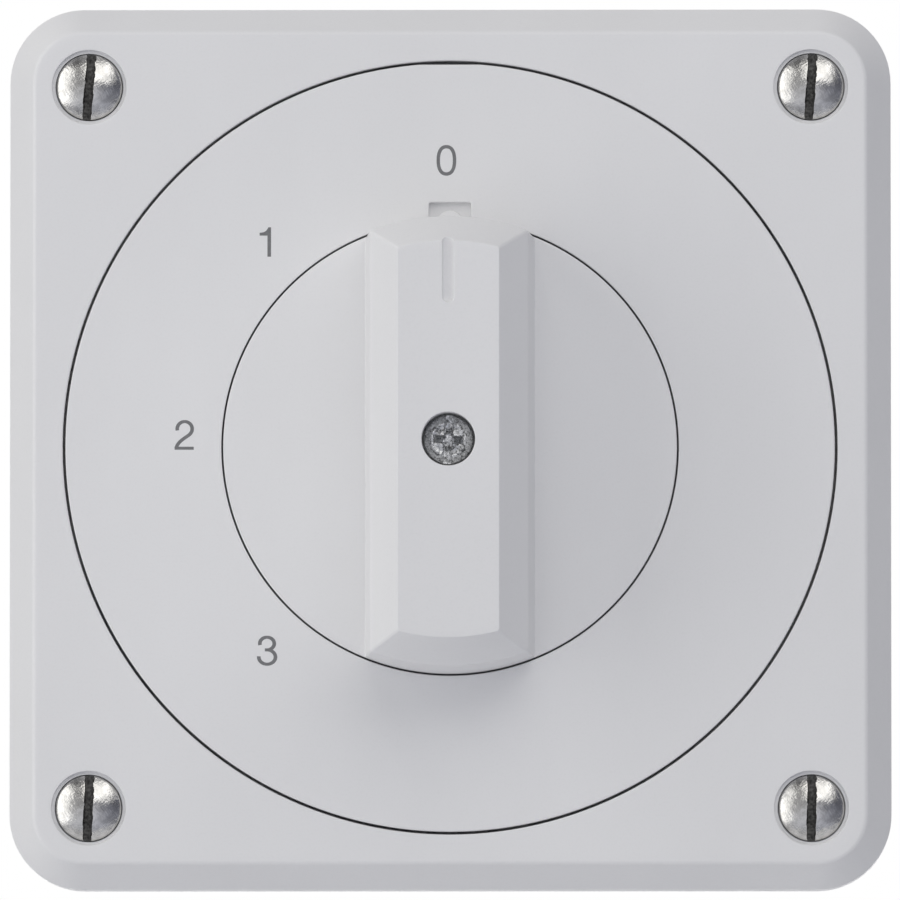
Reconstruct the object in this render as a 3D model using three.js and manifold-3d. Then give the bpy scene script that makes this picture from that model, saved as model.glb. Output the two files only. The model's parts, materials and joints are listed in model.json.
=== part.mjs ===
// Flush rotary switch with the positions 0-1-2-3, for a wall box in a damp room.
//
// Lengths are millimetres. Every piece is drawn in the switch's own axes: x to the right, y up and
// z out of the wall towards the user, with z = 0 on the wall and the z axis along the spindle.
// The last lines turn the whole group so that up is +Z and the front faces -Y.

import * as THREE from 'three';
import { mergeVertices } from 'three/addons/utils/BufferGeometryUtils.js';
import Module from 'manifold-3d';

const wasm = await Module();
wasm.setup();

// ---------------------------------------------------------------- driving dimensions
// A pair in square brackets is the lower and the upper end of a piece along z.

const GAP = 0.3;               // play between pieces that rest on each other
const RIVET_GAP = 0.1;         // play under a riveted contact tip
const LAP = 0.3;               // how deep two joined shapes reach into each other
const OVERCUT = 1;             // how far a cutter reaches past the face it opens

const LARGE = 48;              // sides of the big circles: openings, disc, dial
const MEDIUM = 24;             // sides of hubs, drums and rings
const SMALL = 12;              // sides of screws and their holes

// Cover plate
const PLATE_SIDE = 88;
const PLATE_CORNER = 7.4;      // corner radius at the wall
const PLATE_WALL = 2.2;
const FACE_Z = 11;             // front of the plate, the disc and the dial
const FACE_THICKNESS = 2.6;
const RIM_BEVEL = { width: 2.5, drop: 3.5 };
const SKIRT_Z = 1.3;           // lower edge of the plate's rim
const COVER_SCREW_AT = 36;     // 72 mm between the cover screws
const COVER_HEAD = { radius: 3.27, pocket: 3.75, seatZ: 9.6, topZ: 11.9 };
const COVER_BOSS = 4.75;

// Centre disc
const DISC_RADIUS = 38.35;
const DISC_OPENING = 38.7;     // in the cover plate
const DISC_WEB_Z = 8.6;        // underside of the disc's flat part
const DISC_FLANGE = { inner: 36.6, outer: 40.6, z: [5.6, 7.2] };
const DISC_WELL = { outer: 24.6, z: [5.4, 7.0] };
const HUB_OPENING = 9.2;       // in the floor of the well
const DISC_POST = { at: 22.6, radius: 2, pin: 1.2, pinEnd: 0.2 };
const NOTCH = { width: 4.2, outerY: 24.45, floorZ: 10.2 };
const NOTCH_NUB = { radius: 1.35, y: 22.35, height: 0.4 };

// Knob
const DIAL_RADIUS = 22.62;
const DIAL_WELL = 22.84;       // round opening of the disc that the dial turns in
const DIAL_UNDER_Z = 8.7;
const GRIP_BASE = { halfWidth: 8.4, endRadius: 22.6 };
const GRIP_SHOULDER = { halfWidth: 7.85, endRadius: 22.3, z: 22.2 };
const GRIP_TOP = { halfWidth: 5.04, endRadius: 19.65, z: 26 };
const GRIP_HOLLOW = { halfWidth: 5, endRadius: 19, roofZ: 20.5, core: 9 };
const HUB = { radius: 7.6, endZ: 4.6 };
const KNOB_SCREW_WELL = { radius: 2.65, seatZ: 22.3 };
const SOCKET = { side: 6.5, roofZ: 14.4 };
const INDEX_GROOVE = { radius: 0.7, innerY: 13.5, length: 9, axisAboveTop: 0.2 };

// Spindle
const SPINDLE = { side: 6, frontZ: 14, boreEndZ: 6.5, shoulderZ: -19.5, rearZ: -26.5 };
const JOURNAL = { radius: 2.6, chamfer: 0.4 };
const CIRCLIP_GROOVE = { radius: 2.0, z: [-25.5, -24.4] };
const CIRCLIP = { outer: 4.2, z: [-25.2, -24.6], opening: 1.2 };
const WASHER = { outer: 4.6, z: [-24.3, -23.8] };

// Mounting plate
const FRAME = { side: 82, corner: 5, thickness: 1.5 };
const FRAME_COLLAR = { radius: 3.0, topZ: 4.2 };
const BOX_SCREW_SLOT = { at: 30, halfWidth: 1.9, halfTravel: 3 };   // 60 mm pitch
const EAR_SCREW_AT = 28.5;
const EAR = { reach: 32, halfWidth: 6.5 };

// Wall gasket
const WALL_GASKET = { outer: 87.2, inner: 83, thickness: 1 };

// Switch housing
const HOUSING = { side: 44, chamfer: 6, wall: 2, frontZ: 4, splitZ: -8, rearZ: -30 };
const HOUSING_BUSH = 6.7;
const HOUSING_SCREW = { at: 18.2, boss: 2.8, pocket: 2.6, seatZ: -27, tipZ: -2.6, holeEndZ: -2 };
const CAVITY = { radius: 12.2, floorZ: -19.8 };
const BEARING_END_Z = -23.5;
const REAR_RECESS = 5;

// Index wheel and its leaf springs
const LOBES = 8;               // one click every 45 degrees
const WHEEL = { valley: 10.6, tip: 12.5, journal: 6.4, z: [-2.0, 1.4] };
const LEAF = { thickness: 0.4, nose: 11.15, z: [-1.9, 1.2] };
const LEAF_HALF = [[11.9, 1.2], [13.9, 4.2], [15.2, 8.6], [15.5, 14.1], [17.6, 14.9]];
const LEAF_STOP = { x: [16.1, 17.7], y: [10.4, 13.7] };

// Contact carrier with its end stop
const CARRIER = { radius: 11.6, z: [-15.6, -2.4] };
const STOP_LUG = { outer: 14.6, halfWidth: 2, z: [-12.5, -9] };
const STOP_SLOT = { outer: 15.2, floorZ: -13 };
const STOP_LUG_REST = 22.5;    // degrees, where the lug stands in position 0
const TRAVEL = 135;            // degrees between position 0 and position 3
const STOP_SLACK = 11;         // degrees from a stopped lug's middle to the end of its slot
const WIPER_GUIDE = { x: [2.3, 3.8], y: [-10.4, -5.4], depth: 1.5 };

// Contacts: tracks are radii, the wiper rests at six o'clock
const INNER_TRACK = 6.6;
const OUTER_TRACK = 10.2;
const WIPER = { halfWidth: 2, ends: [-11.2, -5.3], z: [-16.6, -16.0] };
const WIPER_SPRING = { y: -8.4, radius: 1.5, wire: 0.25, turns: 4, well: 2.2, roofZ: -11 };
const TIP = { wiper: 1.1, stage: 1.3 };
const CONTACT_TOP_Z = -17.9;   // surface that the wiper's tips run on
const STRIP = { halfWidth: 2.1, z: [-19.5, -18.7] };
const LEG = { x: [10.8, 11.6], halfWidth: 1.8 };
const TRACK_HALF_WIDTH = 1.4;

// Terminals
const TERMINAL = { x: 16.5, pitch: 12 };
const TAB = { halfWidth: 3.2, reach: 2.9, z: [-22.9, -22.1] };
const CLAMP = { side: 7, chamfer: 1, z: [-26.2, -25.4] };
const TERMINAL_SCREW = { tipZ: -20, seatZ: -26.5, topZ: -28.1 };
const POCKET_ROOF_Z = -21.8;
const POCKET_HALF_WIDTH = 4.3;
const SCREW_PILOT_END_Z = -17;

// Screws: shank radius, and the hole that clears it
const M3 = { shank: 1.25, hole: 1.6 };
const M35 = { shank: 1.6, hole: 1.95 };

// ---------------------------------------------------------------- solids

const radians = THREE.MathUtils.degToRad;
const vector = ([x, y]) => new THREE.Vector2(x, y);
const mirrored = ([near, far], side) => (side > 0 ? [near, far] : [-far, -near]);
const past = ([low, high]) => [low - OVERCUT, high + OVERCUT];

// A closed three.js geometry as a solid that can be joined and cut.
function solid(geometry) {
  geometry.deleteAttribute('normal');
  geometry.deleteAttribute('uv');
  const merged = mergeVertices(geometry, 1e-4);
  const index = merged.index.array;
  const corners = [];
  for (let i = 0; i < index.length; i += 3) {
    const [a, b, c] = [index[i], index[i + 1], index[i + 2]];
    const isEmpty = a === b || b === c || c === a;
    if (!isEmpty) corners.push(a, b, c);
  }
  return new wasm.Manifold(new wasm.Mesh({
    numProp: 3,
    vertProperties: new Float32Array(merged.attributes.position.array),
    triVerts: new Uint32Array(corners),
  }));
}

function geometryOf(body) {
  const { vertProperties, triVerts } = body.getMesh();
  const geometry = new THREE.BufferGeometry();
  geometry.setAttribute('position', new THREE.BufferAttribute(vertProperties, 3));
  geometry.setIndex(new THREE.BufferAttribute(triVerts, 1));
  geometry.computeVertexNormals();
  return geometry;
}

const join = (...bodies) => bodies.reduce((whole, body) => whole.add(body));
const cut = (body, ...cutters) => cutters.reduce((rest, cutter) => rest.subtract(cutter), body);
const turn = (body, degrees) => body.rotate([0, 0, degrees]);

function box([x0, x1], [y0, y1], [z0, z1]) {
  const geometry = new THREE.BoxGeometry(x1 - x0, y1 - y0, z1 - z0);
  return solid(geometry.translate((x0 + x1) / 2, (y0 + y1) / 2, (z0 + z1) / 2));
}

function cylinder(radius, [low, high], sides, [x, y] = [0, 0]) {
  const geometry = new THREE.CylinderGeometry(radius, radius, high - low, sides);
  return solid(geometry.rotateX(Math.PI / 2).translate(x, y, (low + high) / 2));
}

// A profile of [radius, z] pairs, listed anticlockwise, turned about the z axis.
function turned(profile, sides) {
  const points = profile.map(vector);
  const startsOffAxis = points[0].x > 0;
  if (startsOffAxis) points.push(points[0].clone());
  return solid(new THREE.LatheGeometry(points, sides).rotateX(Math.PI / 2));
}

function ring(inner, outer, [low, high], sides) {
  return turned([[inner, low], [outer, low], [outer, high], [inner, high]], sides);
}

function prism(outline, [low, high]) {
  const shape = new THREE.Shape(outline);
  const geometry = new THREE.ExtrudeGeometry(shape, { depth: high - low, bevelEnabled: false });
  return solid(geometry.translate(0, 0, low));
}

// A closed skin through outlines with equal numbers of points, each at its own height.
function loft(sections) {
  const count = sections[0].outline.length;
  const positions = sections.flatMap(({ outline, z }) => outline.flatMap(({ x, y }) => [x, y, z]));
  const index = [];
  for (let section = 0; section < sections.length - 1; section += 1) {
    for (let i = 0; i < count; i += 1) {
      const a = section * count + i;
      const b = section * count + ((i + 1) % count);
      index.push(a, b, b + count, a, b + count, a + count);
    }
  }
  const last = (sections.length - 1) * count;
  for (const [a, b, c] of THREE.ShapeUtils.triangulateShape([...sections[0].outline], [])) {
    index.push(c, b, a);
  }
  for (const [a, b, c] of THREE.ShapeUtils.triangulateShape([...sections.at(-1).outline], [])) {
    index.push(last + a, last + b, last + c);
  }
  const geometry = new THREE.BufferGeometry();
  geometry.setAttribute('position', new THREE.Float32BufferAttribute(positions, 3));
  geometry.setIndex(index);
  return solid(geometry);
}

// ---------------------------------------------------------------- outlines

function outlineOf(shape, divisions) {
  const points = shape.getPoints(divisions);
  const endsAtStart = points[0].distanceTo(points.at(-1)) < 1e-6;
  if (endsAtStart) points.pop();
  return points;
}

function roundedSquare(side, radius) {
  const middle = side / 2 - radius;
  const shape = new THREE.Shape();
  shape.absarc(middle, middle, radius, 0, Math.PI / 2);
  shape.absarc(-middle, middle, radius, Math.PI / 2, Math.PI);
  shape.absarc(-middle, -middle, radius, Math.PI, 1.5 * Math.PI);
  shape.absarc(middle, -middle, radius, 1.5 * Math.PI, 2 * Math.PI);
  return outlineOf(shape, 3);
}

function chamferedSquare(side, chamfer) {
  const far = side / 2;
  const near = far - chamfer;
  const outline = [
    [far, -near], [far, near], [near, far], [-near, far],
    [-far, near], [-far, -near], [-near, -far], [near, -far],
  ];
  return outline.map(vector);
}

// A bar along y whose ends are arcs about the z axis.
function barOutline({ halfWidth, endRadius }) {
  const corner = Math.acos(halfWidth / endRadius);
  const shape = new THREE.Shape();
  shape.absarc(0, 0, endRadius, corner, Math.PI - corner);
  shape.absarc(0, 0, endRadius, Math.PI + corner, 2 * Math.PI - corner);
  return outlineOf(shape, 5);
}

function lobedOutline() {
  const steps = LOBES * 8;
  const middle = (WHEEL.tip + WHEEL.valley) / 2;
  const swing = (WHEEL.tip - WHEEL.valley) / 2;
  return Array.from({ length: steps }, (_, step) => {
    const angle = (step / steps) * 2 * Math.PI;
    const radius = middle - swing * Math.cos(LOBES * angle);
    return new THREE.Vector2(radius * Math.cos(angle), radius * Math.sin(angle));
  });
}

// Part of a ring between two radii and two angles in degrees.
function sectorOutline(inner, outer, from, to) {
  const shape = new THREE.Shape();
  shape.absarc(0, 0, outer, radians(from), radians(to));
  shape.absarc(0, 0, inner, radians(to), radians(from), true);
  return outlineOf(shape, 10);
}

// A strip of even thickness along a bent line.
function stripOutline(line, thickness) {
  const points = line.map(vector);
  const side = (sign) => points.map((point, i) => {
    const before = points[Math.max(i - 1, 0)];
    const after = points[Math.min(i + 1, points.length - 1)];
    const along = after.clone().sub(before).normalize();
    const across = new THREE.Vector2(-along.y, along.x).multiplyScalar((sign * thickness) / 2);
    return point.clone().add(across);
  });
  return [...side(-1), ...side(1).reverse()];
}

class Helix extends THREE.Curve {
  constructor(radius, [low, high], turns) {
    super();
    Object.assign(this, { radius, low, high, turns });
  }

  getPoint(t, target = new THREE.Vector3()) {
    const angle = t * this.turns * 2 * Math.PI;
    const z = THREE.MathUtils.lerp(this.low, this.high, t);
    return target.set(this.radius * Math.cos(angle), this.radius * Math.sin(angle), z);
  }
}

// ---------------------------------------------------------------- places

const CORNERS = {
  top_left: [-1, 1],
  top_right: [1, 1],
  bottom_left: [-1, -1],
  bottom_right: [1, -1],
};

const cornerAt = ([right, up], distance) => [right * distance, up * distance];

// Each contact reaches the cavity at an angle, and its terminal sits in a pocket that is open to
// the rear and to the side of the housing.
const OUTSIDE = HOUSING.side / 2 + OVERCUT;
const OUTER_POCKET = [6.2, TERMINAL.pitch + POCKET_HALF_WIDTH];
const TERMINALS = {
  stage_1: {
    at: [TERMINAL.x, -TERMINAL.pitch],
    angle: -45,
    pocket: [[5.8, OUTSIDE], mirrored(OUTER_POCKET, -1)],
  },
  stage_2: {
    at: [TERMINAL.x, 0],
    angle: 0,
    pocket: [[10.2, OUTSIDE], [-POCKET_HALF_WIDTH, POCKET_HALF_WIDTH]],
  },
  stage_3: {
    at: [TERMINAL.x, TERMINAL.pitch],
    angle: 45,
    pocket: [[5.8, OUTSIDE], OUTER_POCKET],
  },
  supply: {
    at: [-TERMINAL.x, 0],
    angle: 180,
    pocket: [[-OUTSIDE, -10.2], [-POCKET_HALF_WIDTH, POCKET_HALF_WIDTH]],
  },
};

// ---------------------------------------------------------------- visible pieces

function coverPlate() {
  const outer = roundedSquare(PLATE_SIDE, PLATE_CORNER);
  const face = roundedSquare(PLATE_SIDE - 2 * RIM_BEVEL.width, PLATE_CORNER - RIM_BEVEL.width);
  const inside = roundedSquare(PLATE_SIDE - 2 * PLATE_WALL, PLATE_CORNER - PLATE_WALL);
  let plate = cut(
    loft([
      { outline: outer, z: SKIRT_Z },
      { outline: outer, z: FACE_Z - RIM_BEVEL.drop },
      { outline: face, z: FACE_Z },
    ]),
    prism(inside, [SKIRT_Z - OVERCUT, FACE_Z - FACE_THICKNESS]),
    cylinder(DISC_OPENING, [0, FACE_Z + OVERCUT], LARGE),
  );
  for (const corner of Object.values(CORNERS)) {
    const at = cornerAt(corner, COVER_SCREW_AT);
    const bossZ = [FRAME_COLLAR.topZ + GAP, COVER_HEAD.seatZ + LAP];
    plate = join(plate, cylinder(COVER_BOSS, bossZ, SMALL, at));
    plate = cut(
      plate,
      cylinder(COVER_HEAD.pocket, [COVER_HEAD.seatZ, FACE_Z + OVERCUT], MEDIUM, at),
      cylinder(M35.hole, [0, FACE_Z], SMALL, at),
    );
  }
  return plate;
}

// The half-round nub on the floor of the index notch stops short of the dial.
function notchNub() {
  const height = [NOTCH.floorZ - LAP, NOTCH.floorZ + NOTCH_NUB.height];
  const post = cylinder(NOTCH_NUB.radius, height, MEDIUM, [0, NOTCH_NUB.y]);
  return cut(post, cylinder(DIAL_WELL, [0, FACE_Z], LARGE));
}

function centreDisc() {
  const [wellLow, wellHigh] = DISC_WELL.z;
  const [flangeLow, flangeHigh] = DISC_FLANGE.z;
  const body = turned([
    [HUB_OPENING, wellLow],
    [DISC_WELL.outer, wellLow],
    [DISC_WELL.outer, DISC_WEB_Z],
    [DISC_FLANGE.inner, DISC_WEB_Z],
    [DISC_FLANGE.inner, flangeLow],
    [DISC_FLANGE.outer, flangeLow],
    [DISC_FLANGE.outer, flangeHigh],
    [DISC_RADIUS, flangeHigh],
    [DISC_RADIUS, FACE_Z],
    [DIAL_WELL, FACE_Z],
    [DIAL_WELL, wellHigh],
    [HUB_OPENING, wellHigh],
  ], LARGE);
  const half = NOTCH.width / 2;
  const notchZ = [NOTCH.floorZ, FACE_Z + OVERCUT];
  const notch = box([-half, half], [DIAL_WELL - OVERCUT, NOTCH.outerY], notchZ);
  let disc = join(cut(body, notch), notchNub());
  for (const corner of Object.values(CORNERS)) {
    const at = cornerAt(corner, DISC_POST.at);
    const [right, up] = corner;
    const isPinned = right === up;
    disc = join(disc, cylinder(DISC_POST.radius, [FRAME.thickness + GAP, DISC_WEB_Z + LAP], SMALL, at));
    if (isPinned) disc = join(disc, cylinder(DISC_POST.pin, [DISC_POST.pinEnd, DISC_WEB_Z], SMALL, at));
  }
  return disc;
}

function indexGroove() {
  const { radius, innerY, length, axisAboveTop } = INDEX_GROOVE;
  const capsule = new THREE.CapsuleGeometry(radius, length, 3, 10);
  return solid(capsule.translate(0, innerY + radius + length / 2, GRIP_TOP.z + axisAboveTop));
}

function knob() {
  const grip = loft([
    { outline: barOutline(GRIP_BASE), z: FACE_Z - LAP },
    { outline: barOutline(GRIP_SHOULDER), z: GRIP_SHOULDER.z },
    { outline: barOutline(GRIP_TOP), z: GRIP_TOP.z },
  ]);
  const { core, roofZ } = GRIP_HOLLOW;
  const hollow = prism(barOutline(GRIP_HOLLOW), [DIAL_UNDER_Z - OVERCUT, roofZ]);
  const half = SOCKET.side / 2;
  return cut(
    join(
      cylinder(DIAL_RADIUS, [DIAL_UNDER_Z, FACE_Z], LARGE),
      grip,
      cylinder(HUB.radius, [HUB.endZ, FACE_Z], MEDIUM),
    ),
    cut(hollow, box([-core, core], [-core, core], [0, GRIP_TOP.z])),
    box([-half, half], [-half, half], [HUB.endZ - OVERCUT, SOCKET.roofZ]),
    cylinder(M35.hole, [SOCKET.roofZ - OVERCUT, GRIP_TOP.z], SMALL),
    cylinder(KNOB_SCREW_WELL.radius, [KNOB_SCREW_WELL.seatZ, GRIP_TOP.z + OVERCUT], MEDIUM),
    indexGroove(),
  );
}

// ---------------------------------------------------------------- screws

// A slotted screw along z: its tip is the lower end, its crowned head the upper one.
function screw({ shank, headRadius, tip, seat, top, crown, slotWidth = 0.8, slotDepth = 0.8 }) {
  const body = turned([
    [0, tip],
    [shank * 0.6, tip],
    [shank, tip + shank * 0.6],
    [shank, seat],
    [headRadius, seat],
    [headRadius, top - crown],
    [headRadius * 0.75, top - crown * 0.3],
    [0, top],
  ], SMALL);
  const half = slotWidth / 2;
  const reach = headRadius + OVERCUT;
  return cut(body, box([-half, half], [-reach, reach], [top - slotDepth, top + OVERCUT]));
}

function coverScrew() {
  return screw({
    shank: M35.shank,
    headRadius: COVER_HEAD.radius,
    tip: 0.4,
    seat: COVER_HEAD.seatZ + GAP,
    top: COVER_HEAD.topZ,
    crown: 1.1,
    slotWidth: 0.83,
    slotDepth: 1.3,
  });
}

function knobScrew() {
  const seat = KNOB_SCREW_WELL.seatZ + GAP;
  return screw({ shank: M35.shank, headRadius: 2.42, tip: 7.5, seat, top: seat + 2, crown: 0.4 });
}

function earScrew() {
  const seat = HOUSING.frontZ + GAP;
  return screw({ shank: M3.shank, headRadius: 2.7, tip: -1.2, seat, top: seat + 1.7, crown: 0.6 });
}

// A screw that is driven from the rear: its heights are given along z and turned round.
function rearScrew({ tipZ, seatZ, topZ }) {
  const forwards = { tip: -tipZ, seat: -seatZ, top: -topZ };
  const body = screw({ shank: M3.shank, headRadius: 2.25, crown: 0.4, ...forwards });
  return body.rotate([180, 0, 0]);
}

function housingScrew() {
  const seatZ = HOUSING_SCREW.seatZ - GAP;
  return rearScrew({ tipZ: HOUSING_SCREW.tipZ, seatZ, topZ: seatZ - 1.6 });
}

// ---------------------------------------------------------------- seals and mounting plate

function wallGasket() {
  const { outer, inner, thickness } = WALL_GASKET;
  return cut(
    prism(roundedSquare(outer, PLATE_CORNER), [0, thickness]),
    prism(roundedSquare(inner, PLATE_CORNER - PLATE_WALL), past([0, thickness])),
  );
}

function discGasket() {
  const z = [DISC_FLANGE.z[1] + GAP, FACE_Z - FACE_THICKNESS - GAP];
  return ring(DISC_OPENING + GAP, DISC_FLANGE.outer - GAP, z, LARGE);
}

function knobSeal() {
  return ring(HUB.radius + GAP, HUB_OPENING - GAP, [DISC_WELL.z[0] + GAP, DISC_WELL.z[1] - GAP], MEDIUM);
}

function mountingPlate() {
  const through = past([0, FRAME.thickness]);
  let plate = cut(
    prism(roundedSquare(FRAME.side, FRAME.corner), [0, FRAME.thickness]),
    prism(chamferedSquare(HOUSING.side + 1, HOUSING.chamfer), through),
  );
  for (const corner of Object.values(CORNERS)) {
    const at = cornerAt(corner, COVER_SCREW_AT);
    const [right, up] = corner;
    const isPinned = right === up;
    const collarZ = [FRAME.thickness - LAP, FRAME_COLLAR.topZ];
    plate = join(plate, cylinder(FRAME_COLLAR.radius, collarZ, SMALL, at));
    plate = cut(plate, cylinder(M35.hole, past([0, FRAME_COLLAR.topZ]), SMALL, at));
    const pinAt = cornerAt(corner, DISC_POST.at);
    if (isPinned) plate = cut(plate, cylinder(DISC_POST.pin + GAP, through, SMALL, pinAt));
  }
  for (const side of [-1, 1]) {
    const { at, halfWidth, halfTravel } = BOX_SCREW_SLOT;
    const y = side * at;
    plate = cut(
      plate,
      cylinder(M3.hole, through, SMALL, [side * EAR_SCREW_AT, 0]),
      box([-halfTravel, halfTravel], [y - halfWidth, y + halfWidth], through),
      cylinder(halfWidth, through, SMALL, [-halfTravel, y]),
      cylinder(halfWidth, through, SMALL, [halfTravel, y]),
    );
  }
  return plate;
}

// ---------------------------------------------------------------- switch housing

function housingFront() {
  const { side: width, chamfer, wall, frontZ, splitZ } = HOUSING;
  const wallZ = FRAME.thickness + GAP;
  const bossBound = box([-width, width], [-width / 2, width / 2], [splitZ, frontZ]);
  let front = cut(
    join(
      prism(chamferedSquare(width, chamfer), [splitZ, frontZ]),
      box([-EAR.reach, EAR.reach], [-EAR.halfWidth, EAR.halfWidth], [wallZ, frontZ]),
    ),
    prism(chamferedSquare(width - 2 * wall, chamfer - wall / 2), [splitZ - OVERCUT, wallZ]),
    cylinder(HOUSING_BUSH, [0, frontZ + OVERCUT], MEDIUM),
  );
  for (const side of [-1, 1]) {
    const screwAt = [0, side * HOUSING_SCREW.at];
    const boss = cylinder(HOUSING_SCREW.boss, [splitZ, wallZ + LAP], MEDIUM, screwAt);
    front = join(front, boss.intersect(bossBound));
    for (const end of [-1, 1]) {
      const stopZ = [LEAF.z[0] - GAP, wallZ + LAP];
      front = join(front, box(mirrored(LEAF_STOP.x, side), mirrored(LEAF_STOP.y, end), stopZ));
    }
    front = cut(
      front,
      cylinder(M3.hole, [splitZ - OVERCUT, HOUSING_SCREW.holeEndZ], SMALL, screwAt),
      cylinder(M3.hole, [0, frontZ + OVERCUT], SMALL, [side * EAR_SCREW_AT, 0]),
    );
  }
  return front;
}

function housingBase() {
  const { side: width, chamfer, splitZ, rearZ } = HOUSING;
  const top = splitZ - GAP;
  const above = top + OVERCUT;
  const stopSlot = sectorOutline(
    CAVITY.radius - OVERCUT,
    STOP_SLOT.outer,
    STOP_LUG_REST - STOP_SLACK,
    STOP_LUG_REST + TRAVEL + STOP_SLACK,
  );
  let base = cut(
    prism(chamferedSquare(width, chamfer), [rearZ, top]),
    cylinder(CAVITY.radius, [CAVITY.floorZ, above], MEDIUM),
    prism(stopSlot, [STOP_SLOT.floorZ, above]),
    cylinder(JOURNAL.radius + GAP, [rearZ, above], MEDIUM),
    cylinder(REAR_RECESS, [rearZ - OVERCUT, BEARING_END_Z], MEDIUM),
  );
  for (const side of [-1, 1]) {
    const at = [0, side * HOUSING_SCREW.at];
    base = cut(
      base,
      cylinder(M3.hole, [rearZ, above], SMALL, at),
      cylinder(HOUSING_SCREW.pocket, [rearZ - OVERCUT, HOUSING_SCREW.seatZ], MEDIUM, at),
    );
  }
  const floorZ = past([POCKET_ROOF_Z, CAVITY.floorZ]);
  for (const { at, angle, pocket } of Object.values(TERMINALS)) {
    const [legNear, legFar] = LEG.x;
    const legHalf = LEG.halfWidth + GAP;
    base = cut(
      base,
      box(...pocket, [rearZ - OVERCUT, POCKET_ROOF_Z]),
      cylinder(M3.hole, [POCKET_ROOF_Z - OVERCUT, SCREW_PILOT_END_Z], SMALL, at),
      turn(box([legNear - GAP, legFar + GAP], [-legHalf, legHalf], floorZ), angle),
    );
  }
  return base;
}

// ---------------------------------------------------------------- turning pieces

function squareBore(z) {
  const half = SOCKET.side / 2;
  return box([-half, half], [-half, half], past(z));
}

function spindle() {
  const { side, frontZ, boreEndZ, shoulderZ, rearZ } = SPINDLE;
  const half = side / 2;
  const [grooveLow, grooveHigh] = CIRCLIP_GROOVE.z;
  const journal = turned([
    [0, rearZ],
    [JOURNAL.radius - JOURNAL.chamfer, rearZ],
    [JOURNAL.radius, rearZ + JOURNAL.chamfer],
    [JOURNAL.radius, grooveLow],
    [CIRCLIP_GROOVE.radius, grooveLow],
    [CIRCLIP_GROOVE.radius, grooveHigh],
    [JOURNAL.radius, grooveHigh],
    [JOURNAL.radius, shoulderZ + LAP],
    [0, shoulderZ + LAP],
  ], MEDIUM);
  return cut(
    join(box([-half, half], [-half, half], [shoulderZ, frontZ]), journal),
    cylinder(M35.hole, [boreEndZ, frontZ + OVERCUT], SMALL),
  );
}

function indexWheel() {
  const journalZ = [WHEEL.z[1] - LAP, HOUSING.frontZ + GAP];
  const wheel = join(prism(lobedOutline(), WHEEL.z), cylinder(WHEEL.journal, journalZ, MEDIUM));
  return cut(wheel, squareBore([WHEEL.z[0], journalZ[1]]));
}

function contactCarrier() {
  const { radius, z } = CARRIER;
  const lugAcross = [-STOP_LUG.halfWidth, STOP_LUG.halfWidth];
  const lug = turn(box([radius - OVERCUT, STOP_LUG.outer], lugAcross, STOP_LUG.z), STOP_LUG_REST);
  const guideZ = [z[0] - WIPER_GUIDE.depth, z[0] + LAP];
  const guides = [-1, 1].map((side) => box(mirrored(WIPER_GUIDE.x, side), WIPER_GUIDE.y, guideZ));
  const wellZ = [z[0] - OVERCUT, WIPER_SPRING.roofZ];
  return cut(
    join(cylinder(radius, z, MEDIUM), lug, ...guides),
    squareBore(z),
    cylinder(WIPER_SPRING.well, wellZ, SMALL, [0, WIPER_SPRING.y]),
  );
}

function wiperContact() {
  return box([-WIPER.halfWidth, WIPER.halfWidth], WIPER.ends, WIPER.z);
}

function wiperTip() {
  const top = WIPER.z[0] - RIVET_GAP;
  const low = CONTACT_TOP_Z + GAP;
  const crown = TIP.wiper * 0.3;
  return turned([
    [0, low],
    [TIP.wiper - crown, low],
    [TIP.wiper, low + crown],
    [TIP.wiper, top],
    [0, top],
  ], SMALL);
}

function wiperSpring() {
  const { radius, wire, turns, roofZ } = WIPER_SPRING;
  const sides = 5;
  const section = Array.from({ length: sides }, (_, side) => {
    const angle = (side / sides) * 2 * Math.PI;
    return new THREE.Vector2(wire * Math.cos(angle), wire * Math.sin(angle));
  });
  const clear = GAP + wire;
  const path = new Helix(radius, [WIPER.z[1] + clear, roofZ - clear], turns);
  const options = { steps: turns * 10, extrudePath: path, bevelEnabled: false };
  return solid(new THREE.ExtrudeGeometry(new THREE.Shape(section), options));
}

function thrustWasher() {
  return ring(JOURNAL.radius + GAP, WASHER.outer, WASHER.z, MEDIUM);
}

function circlip() {
  const { outer, z, opening } = CIRCLIP;
  const clip = ring(CIRCLIP_GROOVE.radius + GAP, outer, z, MEDIUM);
  return cut(clip, box([-opening, opening], [0, outer + OVERCUT], past(z)));
}

// ---------------------------------------------------------------- click springs and contacts

function detentSpring() {
  const lower = LEAF_HALF.map(([x, y]) => [x, -y]).reverse();
  return prism(stripOutline([...lower, [LEAF.nose, 0], ...LEAF_HALF], LEAF.thickness), LEAF.z);
}

// The leg of a contact goes through the cavity's floor to the tab under its terminal.
function contactLeg() {
  return box(LEG.x, [-LEG.halfWidth, LEG.halfWidth], [TAB.z[0], STRIP.z[1]]);
}

// The tab of stage 2 runs straight out; those of stages 1 and 3 bend from their legs at 45 degrees.
function stageTab([x, y], angle) {
  const { halfWidth, reach } = TAB;
  const [near, far] = [x - halfWidth, x + reach];
  const isStraight = angle === 0;
  if (isStraight) return box([LEG.x[0], far], [-halfWidth, halfWidth], TAB.z);
  const [low, high] = [y - halfWidth, y + halfWidth];
  const corners = [[near, low], [far, low], [far, high], [near, high]].map(vector);
  const legMiddle = (LEG.x[0] + LEG.x[1]) / 2;
  const legSide = LEG.halfWidth - LAP;
  const bend = [legSide, -legSide].map((across) => (
    vector([legMiddle, across]).rotateAround(new THREE.Vector2(), radians(angle))
  ));
  const outline = angle > 0 ? [...bend, ...corners] : [...corners, ...bend];
  return prism(outline, TAB.z);
}

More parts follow.
